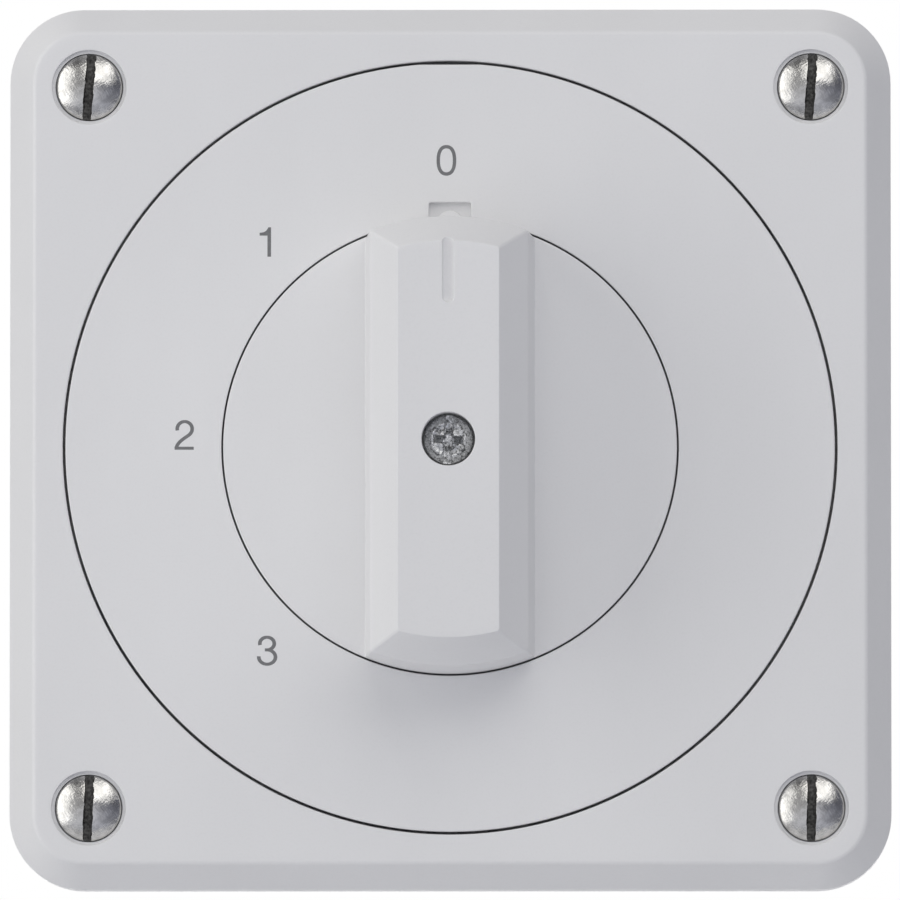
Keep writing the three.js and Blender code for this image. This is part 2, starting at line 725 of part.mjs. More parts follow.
function stageContact({ at, angle }) {
  const pad = box([8.6, LEG.x[1]], [-STRIP.halfWidth, STRIP.halfWidth], STRIP.z);
  const inner = turn(join(pad, contactLeg()), angle);
  return cut(join(inner, stageTab(at, angle)), cylinder(M3.hole, past(TAB.z), SMALL, at));
}

function supplyContact({ at, angle }) {
  const trackZ = [STRIP.z[0], CONTACT_TOP_Z];
  const track = ring(INNER_TRACK - TRACK_HALF_WIDTH, INNER_TRACK + TRACK_HALF_WIDTH, trackZ, MEDIUM);
  const arm = box([INNER_TRACK + LAP, LEG.x[1]], [-LEG.halfWidth, LEG.halfWidth], STRIP.z);
  const tab = box([LEG.x[0], TERMINAL.x + TAB.reach], [-TAB.halfWidth, TAB.halfWidth], TAB.z);
  const reach = turn(join(arm, contactLeg(), tab), angle);
  return cut(join(track, reach), cylinder(M3.hole, past(TAB.z), SMALL, at));
}

function stageTip() {
  return cylinder(TIP.stage, [STRIP.z[1] + RIVET_GAP, CONTACT_TOP_Z], SMALL);
}

function clampPlate() {
  return cut(
    prism(chamferedSquare(CLAMP.side, CLAMP.chamfer), CLAMP.z),
    cylinder(M3.hole, past(CLAMP.z), SMALL),
  );
}

// ---------------------------------------------------------------- materials

function material(color, roughness, metalness = 0) {
  return new THREE.MeshStandardMaterial({ color, roughness, metalness, flatShading: true });
}

const WHITE_PLASTIC = material('#dcdde0', 0.45);
const GREY_PLASTIC = material('#8b9096', 0.55);
const BLACK_PLASTIC = material('#26282b', 0.5);
const RUBBER = material('#2b2c2e', 0.9);
const NICKEL = material('#c9c7c2', 0.25, 1);
const ZINC = material('#a9adb0', 0.4, 1);
const SPRING_STEEL = material('#8f9499', 0.35, 1);
const BRASS = material('#b9994e', 0.35, 1);
const SILVER = material('#d6d4cf', 0.3, 1);

// ---------------------------------------------------------------- assembly

const rotarySwitch = new THREE.Group();

// Adds a named piece at a place on the face, turned about its own axis by some degrees.
function place(name, body, finish, [x, y] = [0, 0], degrees = 0) {
  const mesh = new THREE.Mesh(geometryOf(body), finish);
  mesh.name = name;
  mesh.position.set(x, y, 0);
  mesh.rotation.z = radians(degrees);
  rotarySwitch.add(mesh);
}

place('cover_plate', coverPlate(), WHITE_PLASTIC);
place('centre_disc', centreDisc(), WHITE_PLASTIC);
place('knob', knob(), WHITE_PLASTIC);
place('knob_screw', knobScrew(), ZINC, [0, 0], -3);
place('wall_gasket', wallGasket(), RUBBER);
place('disc_gasket', discGasket(), RUBBER);
place('knob_seal', knobSeal(), RUBBER);
place('mounting_plate', mountingPlate(), ZINC);

// How far each cover screw's slot leans from upright, as tightened by hand.
const SLOT_LEAN = { top_left: -4.5, top_right: -3.7, bottom_left: -2.3, bottom_right: -0.8 };
for (const [name, corner] of Object.entries(CORNERS)) {
  place(`cover_screw_${name}`, coverScrew(), NICKEL, cornerAt(corner, COVER_SCREW_AT), SLOT_LEAN[name]);
}

place('housing_front', housingFront(), GREY_PLASTIC);
place('housing_base', housingBase(), BLACK_PLASTIC);
place('mounting_screw_left', earScrew(), ZINC, [-EAR_SCREW_AT, 0], 35);
place('mounting_screw_right', earScrew(), ZINC, [EAR_SCREW_AT, 0], -60);
place('housing_screw_top', housingScrew(), ZINC, [0, HOUSING_SCREW.at], 20);
place('housing_screw_bottom', housingScrew(), ZINC, [0, -HOUSING_SCREW.at], -50);

place('spindle', spindle(), ZINC);
place('index_wheel', indexWheel(), WHITE_PLASTIC);
place('detent_spring_right', detentSpring(), SPRING_STEEL);
place('detent_spring_left', detentSpring(), SPRING_STEEL, [0, 0], 180);
place('contact_carrier', contactCarrier(), GREY_PLASTIC);
place('wiper_contact', wiperContact(), BRASS);
place('wiper_tip_inner', wiperTip(), SILVER, [0, -INNER_TRACK]);
place('wiper_tip_outer', wiperTip(), SILVER, [0, -OUTER_TRACK]);
place('wiper_spring', wiperSpring(), SPRING_STEEL, [0, WIPER_SPRING.y]);
place('thrust_washer', thrustWasher(), ZINC);
place('spindle_circlip', circlip(), SPRING_STEEL);

for (const [name, terminal] of Object.entries(TERMINALS)) {
  const isStage = name !== 'supply';
  place(`contact_${name}`, isStage ? stageContact(terminal) : supplyContact(terminal), BRASS);
  if (isStage) {
    const angle = radians(terminal.angle);
    const tipAt = [OUTER_TRACK * Math.cos(angle), OUTER_TRACK * Math.sin(angle)];
    place(`contact_tip_${name}`, stageTip(), SILVER, tipAt);
  }
  place(`clamp_plate_${name}`, clampPlate(), ZINC, terminal.at);
  place(`terminal_screw_${name}`, rearScrew(TERMINAL_SCREW), ZINC, terminal.at, 15);
}

rotarySwitch.rotation.x = Math.PI / 2;

export default rotarySwitch;
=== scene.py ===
import json
import math

import bmesh
import bpy
from mathutils import Matrix, Vector, noise
from mathutils.geometry import tessellate_polygon

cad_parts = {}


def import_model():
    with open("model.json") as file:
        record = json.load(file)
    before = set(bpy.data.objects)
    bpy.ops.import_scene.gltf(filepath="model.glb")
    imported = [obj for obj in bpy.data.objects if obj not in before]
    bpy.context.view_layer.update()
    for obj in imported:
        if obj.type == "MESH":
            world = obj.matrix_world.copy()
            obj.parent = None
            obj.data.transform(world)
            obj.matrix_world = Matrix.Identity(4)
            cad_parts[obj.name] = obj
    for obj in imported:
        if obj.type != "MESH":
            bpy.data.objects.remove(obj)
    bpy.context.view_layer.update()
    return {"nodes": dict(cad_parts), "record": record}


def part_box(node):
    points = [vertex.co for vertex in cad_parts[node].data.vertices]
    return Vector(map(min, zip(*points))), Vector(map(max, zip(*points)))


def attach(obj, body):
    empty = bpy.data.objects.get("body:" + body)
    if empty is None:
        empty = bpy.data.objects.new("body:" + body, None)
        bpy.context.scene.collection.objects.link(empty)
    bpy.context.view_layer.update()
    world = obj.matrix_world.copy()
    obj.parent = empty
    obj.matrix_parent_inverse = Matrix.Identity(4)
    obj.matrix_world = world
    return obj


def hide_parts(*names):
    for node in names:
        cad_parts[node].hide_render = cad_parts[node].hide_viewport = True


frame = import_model()

# The looks of a flush rotary switch with the positions 0-1-2-3.
#
# Shapes are drawn in millimetres in the switch's own axes: x to the right, y up and z out of the
# wall towards the user, with z = 0 on the wall and the z axis along the spindle.

MM = 0.001
ROUND = 192        # sides of the large circles
FINE = 64          # sides of holes, hubs and screws
BORDER = 0.4       # width of the level strip beside a rounded edge


def world(x, y, z):
    """A point in the switch's axes, in the frame's axes and metres."""
    return Vector((x, -z, y)) * MM


def spans(node):
    """How far a CAD node reaches along the switch's x, y and z, in millimetres."""
    low, high = (Vector(corner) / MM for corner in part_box(node))
    return (low.x, high.x), (low.z, high.z), (-high.y, -low.y)


def centre_of(node):
    (left, right), (bottom, top), _ = spans(node)
    return Vector(((left + right) / 2, (bottom + top) / 2))


# ---------------------------------------------------------------- sizes

(_, PLATE_HALF), _, (SKIRT_Z, FACE_Z) = spans("cover_plate")
PLATE_CORNER = 7.4
PLATE_WALL = 2.2
PLATE_INSIDE_Z = FACE_Z - 2.6
RIM_BEVEL = {"width": 2.5, "drop": 3.5}
LARGE_THREAD = 1.6
SMALL_THREAD = 1.25
SMALL_HOLE = 1.6
POCKET = {"radius": 3.7, "ledge_z": 10.5, "inner": 3.38, "floor_z": 9.6}
SCREW_BOSS = {"radius": 4.75, "foot_z": 4.5, "hole": 1.95}
COVER_HEAD = {"radius": 3.27, "crown": 1.1, "slot_half": 0.41}

(_, DISC_FLANGE), _, _ = spans("centre_disc")
DISC_RADIUS = DISC_FLANGE - 2.25
DISC_OPENING = DISC_RADIUS + 0.28
FLANGE_Z = (5.6, 7.2)
DISC_WEB_Z = 8.6
FLANGE_INNER = 36.6
WELL = {"outer": 24.6, "z": (5.4, 7.0)}
HUB_OPENING = 9.2
NOTCH = {"half": 2.1, "top": 24.45, "floor_z": 10.2}
NUB = {"radius": 1.35, "y": 22.35, "height": 0.4}
POST = {"at": 22.6, "radius": 2, "foot_z": 1.8, "pin": 1.2, "pin_z": 0.2, "hole": 1.5}

(_, DIAL_RADIUS), _, (HUB_END_Z, GRIP_TOP_Z) = spans("knob")
DIAL_WELL = DIAL_RADIUS + 0.18
DIAL_UNDER_Z = 8.7
SHOULDER_Z = 22.2
# The grip's half width and the radius of its rounded ends, at each level.
GRIP_FOOT = {"half": 8.7, "end": 22.6}
GRIP_BASE = {"half": 8.4, "end": 22.6}
GRIP_SHOULDER = {"half": 7.85, "end": 22.3}
GRIP_TOP = {"half": 5.04, "end": 19.65}
GRIP_CROWN = {"half": 4.0, "end": 18.6}
HUB_RADIUS = 7.6
SCREW_WELL = {"radius": 2.65, "seat_z": 22.3}
KNOB_HEAD = {"radius": 2.42, "crown": 0.75, "dish": 0.26}
SOCKET = {"half": 3.25, "roof_z": 14.4}
HOUSING = {"half": 22, "chamfer": 6, "corner": 0.8, "wall": 2, "bush": 6.7, "ear_half": 6.5}
_, _, (_, HOUSING_FRONT_Z) = spans("housing_front")
HOUSING_SCREW = {"at": 18.2, "boss": 2.8, "pocket": 2.6, "seat_z": -27}
CAVITY = {"radius": 12.2, "floor_z": -19.8}
REAR_RECESS = {"radius": 5, "roof_z": -23.5}
# The round rear end of the spindle; the circlip sits in its groove.
JOURNAL = {"radius": 2.6, "bore": 2.9, "front_z": -19.5, "groove": 2.0, "groove_z": (-25.5, -24.4)}
POCKET_ROOF_Z = -21.8
FRAME_THICKNESS = 1.5
COLLAR_RADIUS = 3.0
BOX_SLOT = {"at": 30, "half": 1.9, "travel": 3}
GROOVE = {"radius": 0.62, "inner_y": 14.1, "outer_y": 24, "axis_above_top": 0.06, "lip": 0.06}


# ---------------------------------------------------------------- outlines

def arc(centre, radius, start, end, steps):
    """Points along an arc; the angles are degrees, anticlockwise from the right."""
    angles = (math.radians(start + (end - start) * step / steps) for step in range(steps + 1))
    return [Vector(centre) + radius * Vector((math.cos(a), math.sin(a))) for a in angles]


def circle(radius, centre=(0, 0), steps=ROUND):
    return arc(centre, radius, 0, 360, steps)[:-1]


def rounded_square(half, corner):
    middle = half - corner
    outline = []
    for start, (right, up) in enumerate([(1, 1), (-1, 1), (-1, -1), (1, -1)]):
        outline += arc((right * middle, up * middle), corner, 90 * start, 90 * start + 90, 16)
    return outline


def chamfered_square(half, chamfer, corner):
    near = half - chamfer
    corners = [
        (half, -near), (half, near), (near, half), (-near, half),
        (-half, near), (-half, -near), (-near, -half), (near, -half),
    ]
    return round_off([Vector(point) for point in corners], corner)


def rectangle(x, y, corner=0.0):
    (x0, x1), (y0, y1) = x, y
    corners = [Vector(point) for point in ((x0, y0), (x1, y0), (x1, y1), (x0, y1))]
    return round_off(corners, corner)


def bar(half_width, end_radius, corner):
    """A bar along y whose ends are arcs about the z axis and whose corners are rounded."""
    inner_x = half_width - corner
    inner_y = math.sqrt((end_radius - corner) ** 2 - inner_x ** 2)
    turn = math.degrees(math.atan2(inner_y, inner_x))
    upper = arc((inner_x, inner_y), corner, 0, turn, 6)
    upper += arc((0, 0), end_radius, turn, 180 - turn, 32)[1:-1]
    upper += arc((-inner_x, inner_y), corner, 180 - turn, 180, 6)
    return upper + [-point for point in upper]


def round_off(points, radius, closed=True, steps=5):
    """The same line with arcs at its corners. radius is one number or one for each point."""
    radii = radius if isinstance(radius, (list, tuple)) else [radius] * len(points)
    line = []
    for i, (corner, wanted) in enumerate(zip(points, radii)):
        is_end = not closed and i in (0, len(points) - 1)
        if is_end or wanted == 0:
            line.append(corner)
            continue
        back = points[i - 1] - corner
        ahead = points[(i + 1) % len(points)] - corner
        half_angle = back.angle(ahead) / 2
        reach = min(wanted / math.tan(half_angle), 0.49 * back.length, 0.49 * ahead.length)
        start = corner + back.normalized() * reach
        end = corner + ahead.normalized() * reach
        pull = math.sin(half_angle)
        for step in range(steps + 1):
            t = step / steps
            a, b, c = (1 - t) ** 2, 2 * pull * t * (1 - t), t * t
            line.append((start * a + corner * b + end * c) / (a + b + c))
    return line


def inset(outline, distance):
    """A closed anticlockwise outline moved inwards, or outwards where distance is negative."""
    if distance == 0:
        return outline
    moved = []
    for i, point in enumerate(outline):
        before = (point - outline[i - 1]).normalized()
        after = (outline[(i + 1) % len(outline)] - point).normalized()
        inward = Vector((-before.y - after.y, before.x + after.x))
        moved.append(point + inward * distance / (1 + before.dot(after)))
    return moved


def upright(low, high, foot=0.0, lip=0.0, border=0.0, steps=5):
    """The profile of an upright wall as (inset, z), with a rounded lower and upper edge.

    A border carries on level past the upper edge, which keeps the flat beside it looking flat.
    """
    profile = []
    quarter = [math.pi / 2 * step / steps for step in range(steps + 1)]
    if foot:
        profile += [(foot * (1 - math.sin(a)), low + foot * (1 - math.cos(a))) for a in quarter]
    else:
        profile.append((0, low))
    if lip:
        profile += [(lip * (1 - math.cos(a)), high - lip * (1 - math.sin(a))) for a in quarter]
    else:
        profile.append((0, high))
    if border:
        profile.append((lip + border, high))
    return profile


# ---------------------------------------------------------------- surfaces

class Skin:
    """A closed surface that is put together from loops of points, in millimetres."""

    def __init__(self):
        self.mesh = bmesh.new()

    def loop(self, outline, z):
        return [self.mesh.verts.new((x, y, z)) for x, y in outline]

    def bridge(self, below, above):
        for i in range(len(below)):
            corners = (below[i - 1], below[i], above[i], above[i - 1])
            self.mesh.faces.new(corners)

    def chain(self, loops):
        for below, above in zip(loops, loops[1:]):
            self.bridge(below, above)
        return loops[0], loops[-1]

    def wall(self, outline, profile):
        """A wall round an outline. A profile step is (how far inside the outline, z)."""
        return self.chain([self.loop(inset(outline, inward), z) for inward, z in profile])

    def hole(self, outline, low, high, foot=0.0, lip=0.0):
        """The wall of an opening; its rounded edges flare outwards."""
        profile = upright(low, high, foot, lip, BORDER if lip else 0)
        return self.wall(outline, [(-flare, z) for flare, z in profile])

    def flat(self, *loops):
        """A flat face inside the first loop and outside the others."""
        corners = [vertex for loop in loops for vertex in loop]
        for triangle in tessellate_polygon([[vertex.co for vertex in loop] for loop in loops]):
            self.mesh.faces.new([corners[index] for index in triangle])

    def prism(self, outline, low, high, foot=0.0, lip=0.0):
        """A solid bar on an outline."""
        for end in self.wall(outline, upright(low, high, foot, lip)):
            self.flat(end)

    def ring(self, inner, outer, low, high, soft=0.1):
        """A flat ring with rounded edges."""
        wall = upright(low, high, foot=soft, lip=soft)
        profile = [(outer - inward, z) for inward, z in wall]
        profile += [(inner + inward, z) for inward, z in reversed(wall)]
        self.turned(profile + profile[:1])

    def turned(self, profile, centre=(0, 0), steps=FINE):
        """A line of (radius, z) points turned about an upright axis."""
        loops = [self.loop(circle(max(radius, 1e-4), centre, steps), z) for radius, z in profile]
        return self.chain(loops)

    def finished(self, name):
        """The surface as an object in the frame's axes, smooth across its rounded edges."""
        bmesh.ops.remove_doubles(self.mesh, verts=self.mesh.verts, dist=5e-4)
        bmesh.ops.recalc_face_normals(self.mesh, faces=self.mesh.faces)
        data = bpy.data.meshes.new(name)
        self.mesh.to_mesh(data)
        self.mesh.free()
        data.transform(Matrix(((MM, 0, 0, 0), (0, 0, -MM, 0), (0, MM, 0, 0), (0, 0, 0, 1))))
        made = bpy.data.objects.new(name, data)
        bpy.context.scene.collection.objects.link(made)
        return made


def combine(body, tool, operation):
    """Joins a closed object to another, or cuts it away, and uses the tool up."""
    modifier = body.modifiers.new(operation, "BOOLEAN")
    modifier.operation = operation
    modifier.solver = "EXACT"
    modifier.object = tool
    evaluated = body.evaluated_get(bpy.context.evaluated_depsgraph_get())
    result = bpy.data.meshes.new_from_object(evaluated)
    body.modifiers.clear()
    body.data = result
    bpy.data.objects.remove(tool)
    return body


def cut_bar(body, outline, low, high):
    cutter = Skin()
    cutter.prism(outline, low, high)
    combine(body, cutter.finished("cutter"), "DIFFERENCE")


def cut_round(body, radius, low, high, at=(0, 0)):
    cut_bar(body, circle(radius, at, FINE), low, high)


def soften(made, width):
    """Rounds the sharp edges that cuts left behind."""
    welded = made.modifiers.new("weld", "WELD")
    welded.merge_threshold = 1e-6
    edges = made.modifiers.new("edges", "BEVEL")
    edges.width = width * MM
    edges.segments = 2
    edges.limit_method = "ANGLE"
    edges.angle_limit = math.radians(40)


def shade(made, sharp_degrees=32):
    """Smooth shading that keeps flat faces flat and sharp edges sharp."""
    made.data.shade_smooth()
    made.data.set_sharp_from_angle(angle=math.radians(sharp_degrees))
    weighted = made.modifiers.new("flat_faces", "WEIGHTED_NORMAL")
    weighted.keep_sharp = True
    weighted.weight = 80


# ---------------------------------------------------------------- materials

class Finish:
    """A material under construction: its shader, and short ways to make the nodes before it."""

    def __init__(self, name, roughness, metallic=0.0):
        self.material = bpy.data.materials.new(name)
        self.material.use_nodes = True
        self.tree = self.material.node_tree
        self.shader = self.tree.nodes["Principled BSDF"]
        self.shader.inputs["Metallic"].default_value = metallic
        self.shader.inputs["Roughness"].default_value = roughness
        self.place = self.tree.nodes.new("ShaderNodeTexCoord").outputs["Object"]

    def link(self, source, target):
        self.tree.links.new(source, target)

    def noise(self, size, detail=2.0, stretch=(1, 1, 1), roughness=0.5, lean=0.0):
        """Noise whose features are about size millimetres across, leaning in the face's plane."""
        leant = self.tree.nodes.new("ShaderNodeVectorRotate")
        leant.rotation_type = "Y_AXIS"
        leant.inputs["Angle"].default_value = math.radians(lean)
        self.link(self.place, leant.inputs["Vector"])
        scaled = self.tree.nodes.new("ShaderNodeVectorMath")
        scaled.operation = "MULTIPLY"
        scaled.inputs[1].default_value = [1 / (size * MM * factor) for factor in stretch]
        self.link(leant.outputs[0], scaled.inputs[0])
        texture = self.tree.nodes.new("ShaderNodeTexNoise")
        texture.inputs["Scale"].default_value = 1
        texture.inputs["Detail"].default_value = detail
        texture.inputs["Roughness"].default_value = roughness
        self.link(scaled.outputs[0], texture.inputs["Vector"])
        return texture.outputs["Fac"]

    def cells(self, size):
        """Crystal grains about size millimetres across, each of one random tone."""
        scaled = self.tree.nodes.new("ShaderNodeVectorMath")
        scaled.operation = "SCALE"
        scaled.inputs["Scale"].default_value = 1 / (size * MM)
        self.link(self.place, scaled.inputs[0])
        texture = self.tree.nodes.new("ShaderNodeTexVoronoi")
        self.link(scaled.outputs[0], texture.inputs["Vector"])
        grey = self.tree.nodes.new("ShaderNodeRGBToBW")
        self.link(texture.outputs["Color"], grey.inputs[0])
        return grey.outputs[0]

    def height(self, low, high):
        """Rises from 0 to 1 between two heights along the piece's own z axis."""
        axes = self.tree.nodes.new("ShaderNodeSeparateXYZ")
        self.link(self.place, axes.inputs[0])
        rise = self.tree.nodes.new("ShaderNodeMapRange")
        rise.inputs["From Min"].default_value = -low * MM
        rise.inputs["From Max"].default_value = -high * MM
        self.link(axes.outputs["Y"], rise.inputs["Value"])
        return rise.outputs["Result"]

    def rings(self, size):
        """Turning marks: fine rings about the piece's own y axis in the frame."""
        texture = self.tree.nodes.new("ShaderNodeTexWave")
        texture.wave_type = "RINGS"
        texture.rings_direction = "Y"
        texture.inputs["Scale"].default_value = 0.05 / (size * MM)
        texture.inputs["Distortion"].default_value = 1.5
        texture.inputs["Detail"].default_value = 3
        texture.inputs["Detail Scale"].default_value = 2
        self.link(self.place, texture.inputs["Vector"])
        return texture.outputs["Fac"]

    def ramp(self, factor, *stops):
        """Maps a factor to numbers or colours, given as (position, value) stops."""
        node = self.tree.nodes.new("ShaderNodeValToRGB")
        elements = node.color_ramp.elements
        while len(elements) < len(stops):
            elements.new(0.5)
        for element, (position, value) in zip(elements, stops):
            element.position = position
            is_number = isinstance(value, (int, float))
            element.color = (value, value, value, 1) if is_number else (*value, 1)
        self.link(factor, node.inputs["Fac"])
        return node.outputs["Color"]

    def blend(self, first, second, mode="MULTIPLY", amount=1.0):
        node = self.tree.nodes.new("ShaderNodeMix")
        node.data_type = "RGBA"
        node.blend_type = mode
        node.inputs["Factor"].default_value = amount
        self.link(first, node.inputs["A"])
        self.link(second, node.inputs["B"])
        return node.outputs["Result"]

    def colour(self, source):
        self.link(source, self.shader.inputs["Base Color"])

    def roughness(self, source):
        self.link(source, self.shader.inputs["Roughness"])

    def bump(self, *layers):
        """Relief from (height source, depth in millimetres, strength) layers."""
        normal = None
        for height, depth, strength in layers:
            node = self.tree.nodes.new("ShaderNodeBump")
            node.inputs["Distance"].default_value = depth * MM
            node.inputs["Strength"].default_value = strength
            self.link(height, node.inputs["Height"])
            if normal:
                self.link(normal, node.inputs["Normal"])
            normal = node.outputs["Normal"]
        self.link(normal, self.shader.inputs["Normal"])


def tinted(base, factor):
    return tuple(channel * factor for channel in base)


def moulded_plastic(name, base, roughness, grain=0.16, relief=0.5, mottle=0.015):
    """Injection moulded plastic with a fine spark-eroded grain and faint flow marks."""
    finish = Finish(name, roughness)
    flow = finish.noise(14, detail=3, stretch=(1, 1, 2.4))
    speckle = finish.noise(grain * 1.6, detail=1)
    clouds = finish.ramp(flow, (0.3, tinted(base, 1 - mottle)), (0.7, tinted(base, 1 + mottle)))
    specks = finish.ramp(speckle, (0.28, 1 - mottle), (0.5, 1.0))
    finish.colour(finish.blend(clouds, specks))
    sheen = finish.noise(3.5, detail=4)
    finish.roughness(finish.ramp(sheen, (0.25, roughness - 0.05), (0.75, roughness + 0.05)))
    texture = finish.noise(grain, detail=2, roughness=0.6)
    waves = finish.noise(22, detail=1)
    finish.bump((waves, 0.06, relief * 0.5), (texture, 0.006, relief))
    return finish.material


def seal_rubber():
    """Matt rubber with a dusty bloom."""
    finish = Finish("seal_rubber", 0.85)
    bloom = finish.noise(2.2, detail=5)
    base = (0.028, 0.028, 0.031)
    finish.colour(finish.ramp(bloom, (0.35, base), (0.75, tinted(base, 1.9))))
    finish.roughness(finish.ramp(bloom, (0.3, 0.72), (0.7, 0.92)))
    finish.bump((finish.noise(0.25, detail=3), 0.03, 0.6))
    return finish.material


def cover_head_rim():
    """How high the edge of a cover screw's head is, below its crown."""
    _, _, (_, top) = spans("cover_screw_top_left")
    return top - COVER_HEAD["crown"]


def nickel_plate():
    """Bright nickel with hairlines on a turned screw head, and painted shade at its edge and in its
    slot.
    """
    finish = Finish("nickel_plated", 0.2, metallic=1.0)
    tarnish = finish.noise(0.9, detail=4)
    base = (0.75, 0.74, 0.715)
    bright = finish.ramp(tarnish, (0.3, tinted(base, 0.66)), (0.62, base))
    # Below the rim of the head, in the slot and round its edge, the colour is painted darker with
    # noise in it: painted shade. The same height mask makes that part rougher.
    rim_z = cover_head_rim()
    above_rim = finish.height(rim_z - 0.3, rim_z - 0.02)
    painted_recess_shade = finish.ramp(finish.noise(0.25, detail=3), (0.35, 0.17), (0.65, 0.46))
    white = finish.ramp(above_rim, (0, 0.0), (1, 1.0))
    finish.colour(finish.blend(bright, finish.blend(painted_recess_shade, white, "LIGHTEN")))
    scuffs = finish.noise(0.22, detail=5, stretch=(0.5, 1, 2.2), roughness=0.65)
    worn = finish.ramp(scuffs, (0.35, 0.10), (0.7, 0.22))
    finish.roughness(finish.blend(worn, finish.ramp(above_rim, (0, 0.8), (1, 0.0)), "LIGHTEN"))
    left_hairlines = finish.noise(0.17, detail=3, stretch=(1, 1, 7), lean=40)
    right_hairlines = finish.noise(0.17, detail=3, stretch=(1, 1, 7), lean=-50)
    finish.bump(
        (finish.rings(0.16), 0.004, 0.3),
        (scuffs, 0.02, 0.6),
        (left_hairlines, 0.03, 0.7),
        (right_hairlines, 0.03, 0.7),
    )
    return finish.material


def zinc_plate():
    """Blue zinc plate over rolled steel: small crystal grains and fine drawn lines."""
    finish = Finish("zinc_plated", 0.38, metallic=1.0)
    grains = finish.cells(0.45)
    clouds = finish.noise(3.0, detail=4)
    base = (0.52, 0.53, 0.54)
    grain_tone = finish.ramp(grains, (0.1, 0.8), (0.9, 1.05))
    tone = finish.ramp(clouds, (0.3, tinted(base, 0.84)), (0.7, base))
    finish.colour(finish.blend(tone, grain_tone))
    finish.roughness(finish.ramp(clouds, (0.25, 0.5), (0.75, 0.3)))
    drawn = finish.noise(0.12, detail=3, stretch=(1, 1, 26))
    finish.bump((finish.noise(0.2, detail=4), 0.02, 0.5), (drawn, 0.006, 0.4))
    return finish.material


def worn_zinc():
    """Zinc on a small screw head: coarse crystals, scratches and dark spots."""
    finish = Finish("worn_zinc", 0.4, metallic=1.0)
    spots = finish.noise(0.3, detail=4, roughness=0.65)
    base = (0.90, 0.91, 0.92)
    tone = finish.ramp(spots, (0.36, tinted(base, 0.16)), (0.46, tinted(base, 0.7)), (0.6, base))
    finish.colour(finish.blend(tone, finish.ramp(finish.cells(0.2), (0.1, 0.6), (0.8, 1.0))))
    finish.roughness(finish.ramp(spots, (0.35, 0.55), (0.6, 0.22)))
    scratches = finish.noise(0.09, detail=3, stretch=(1, 1, 8), lean=35)
    finish.bump((finish.noise(0.3, detail=5), 0.14, 0.9), (scratches, 0.015, 0.6))
    return finish.material


def rolled_metal(name, base, roughness, stain):
    """Sheet metal with rolling lines, and stains where it was handled."""
    finish = Finish(name, roughness, metallic=1.0)
    stains = finish.noise(1.7, detail=5, roughness=0.6)
    finish.colour(finish.ramp(stains, (0.32, stain), (0.6, base)))
    rolling = finish.noise(0.09, detail=3, stretch=(1, 1, 40))
    finish.roughness(finish.ramp(stains, (0.3, roughness + 0.15), (0.65, roughness)))
    finish.bump((rolling, 0.006, 0.5), (finish.noise(0.5, detail=4), 0.01, 0.25))
    return finish.material


def dial_print():
    """Grey pad print: slightly uneven ink."""
    finish = Finish("dial_print", 0.5)
    ink = (0.185, 0.187, 0.192)
    density = finish.noise(0.35, detail=4)
    finish.colour(finish.ramp(density, (0.3, tinted(ink, 0.9)), (0.7, tinted(ink, 1.12))))
    finish.bump((finish.noise(0.1), 0.003, 0.4))
    return finish.material


def pale_floor():
    finish = Finish("pale_floor", 0.7)
    paper = (0.82, 0.82, 0.83)
    finish.colour(finish.ramp(finish.noise(60), (0.3, tinted(paper, 0.985)), (0.7, paper)))
    finish.bump((finish.noise(0.8, detail=3), 0.03, 0.3))
    return finish.material


LOOKS = {
    "white_plastic": moulded_plastic("white_plastic", (0.84, 0.84, 0.845), 0.42),
    "natural_plastic": moulded_plastic("natural_plastic", (0.78, 0.76, 0.69), 0.36, mottle=0.03),
    "grey_plastic": moulded_plastic("grey_plastic", (0.24, 0.25, 0.265), 0.52, 0.3, 0.8, 0.05),
    "black_plastic": moulded_plastic("black_plastic", (0.022, 0.023, 0.025), 0.4, 0.25, 0.7, 0.12),
    "seal_rubber": seal_rubber(),
    "nickel_plated": nickel_plate(),
    "zinc_plated": zinc_plate(),
    "spring_steel": rolled_metal("spring_steel", (0.45, 0.45, 0.44), 0.3, (0.30, 0.28, 0.25)),
    "contact_brass": rolled_metal("contact_brass", (0.70, 0.50, 0.22), 0.3, (0.48, 0.31, 0.13)),
    "contact_silver": rolled_metal("contact_silver", (0.78, 0.77, 0.74), 0.28, (0.50, 0.47, 0.42)),
}

SLOT_OF = {part["node"]: part["material_slot"] for part in frame["record"]["subparts"]}
BODY_OF = {
    node: body
    for body, nodes in frame["record"]["behaviour"]["bodies"].items()
    for node in nodes
}


def stand_in(made, node, at=(0, 0), degrees=0.0, from_rear=False, look=None):
    """Puts a finished object in a CAD node's place, turned about its own axis."""
    placed = Matrix.Translation(world(*at, 0)) @ Matrix.Rotation(-math.radians(degrees), 4, "Y")
    made.matrix_world = placed @ Matrix.Rotation(math.pi if from_rear else 0, 4, "X")
    shade(made)
    made.data.materials.clear()
    made.data.materials.append(look or LOOKS[SLOT_OF[node]])
    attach(made, BODY_OF[node])
    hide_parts(node)
    return made


# ---------------------------------------------------------------- cover plate and centre disc

SCREW_CORNERS = ("top_left", "top_right", "bottom_left", "bottom_right")


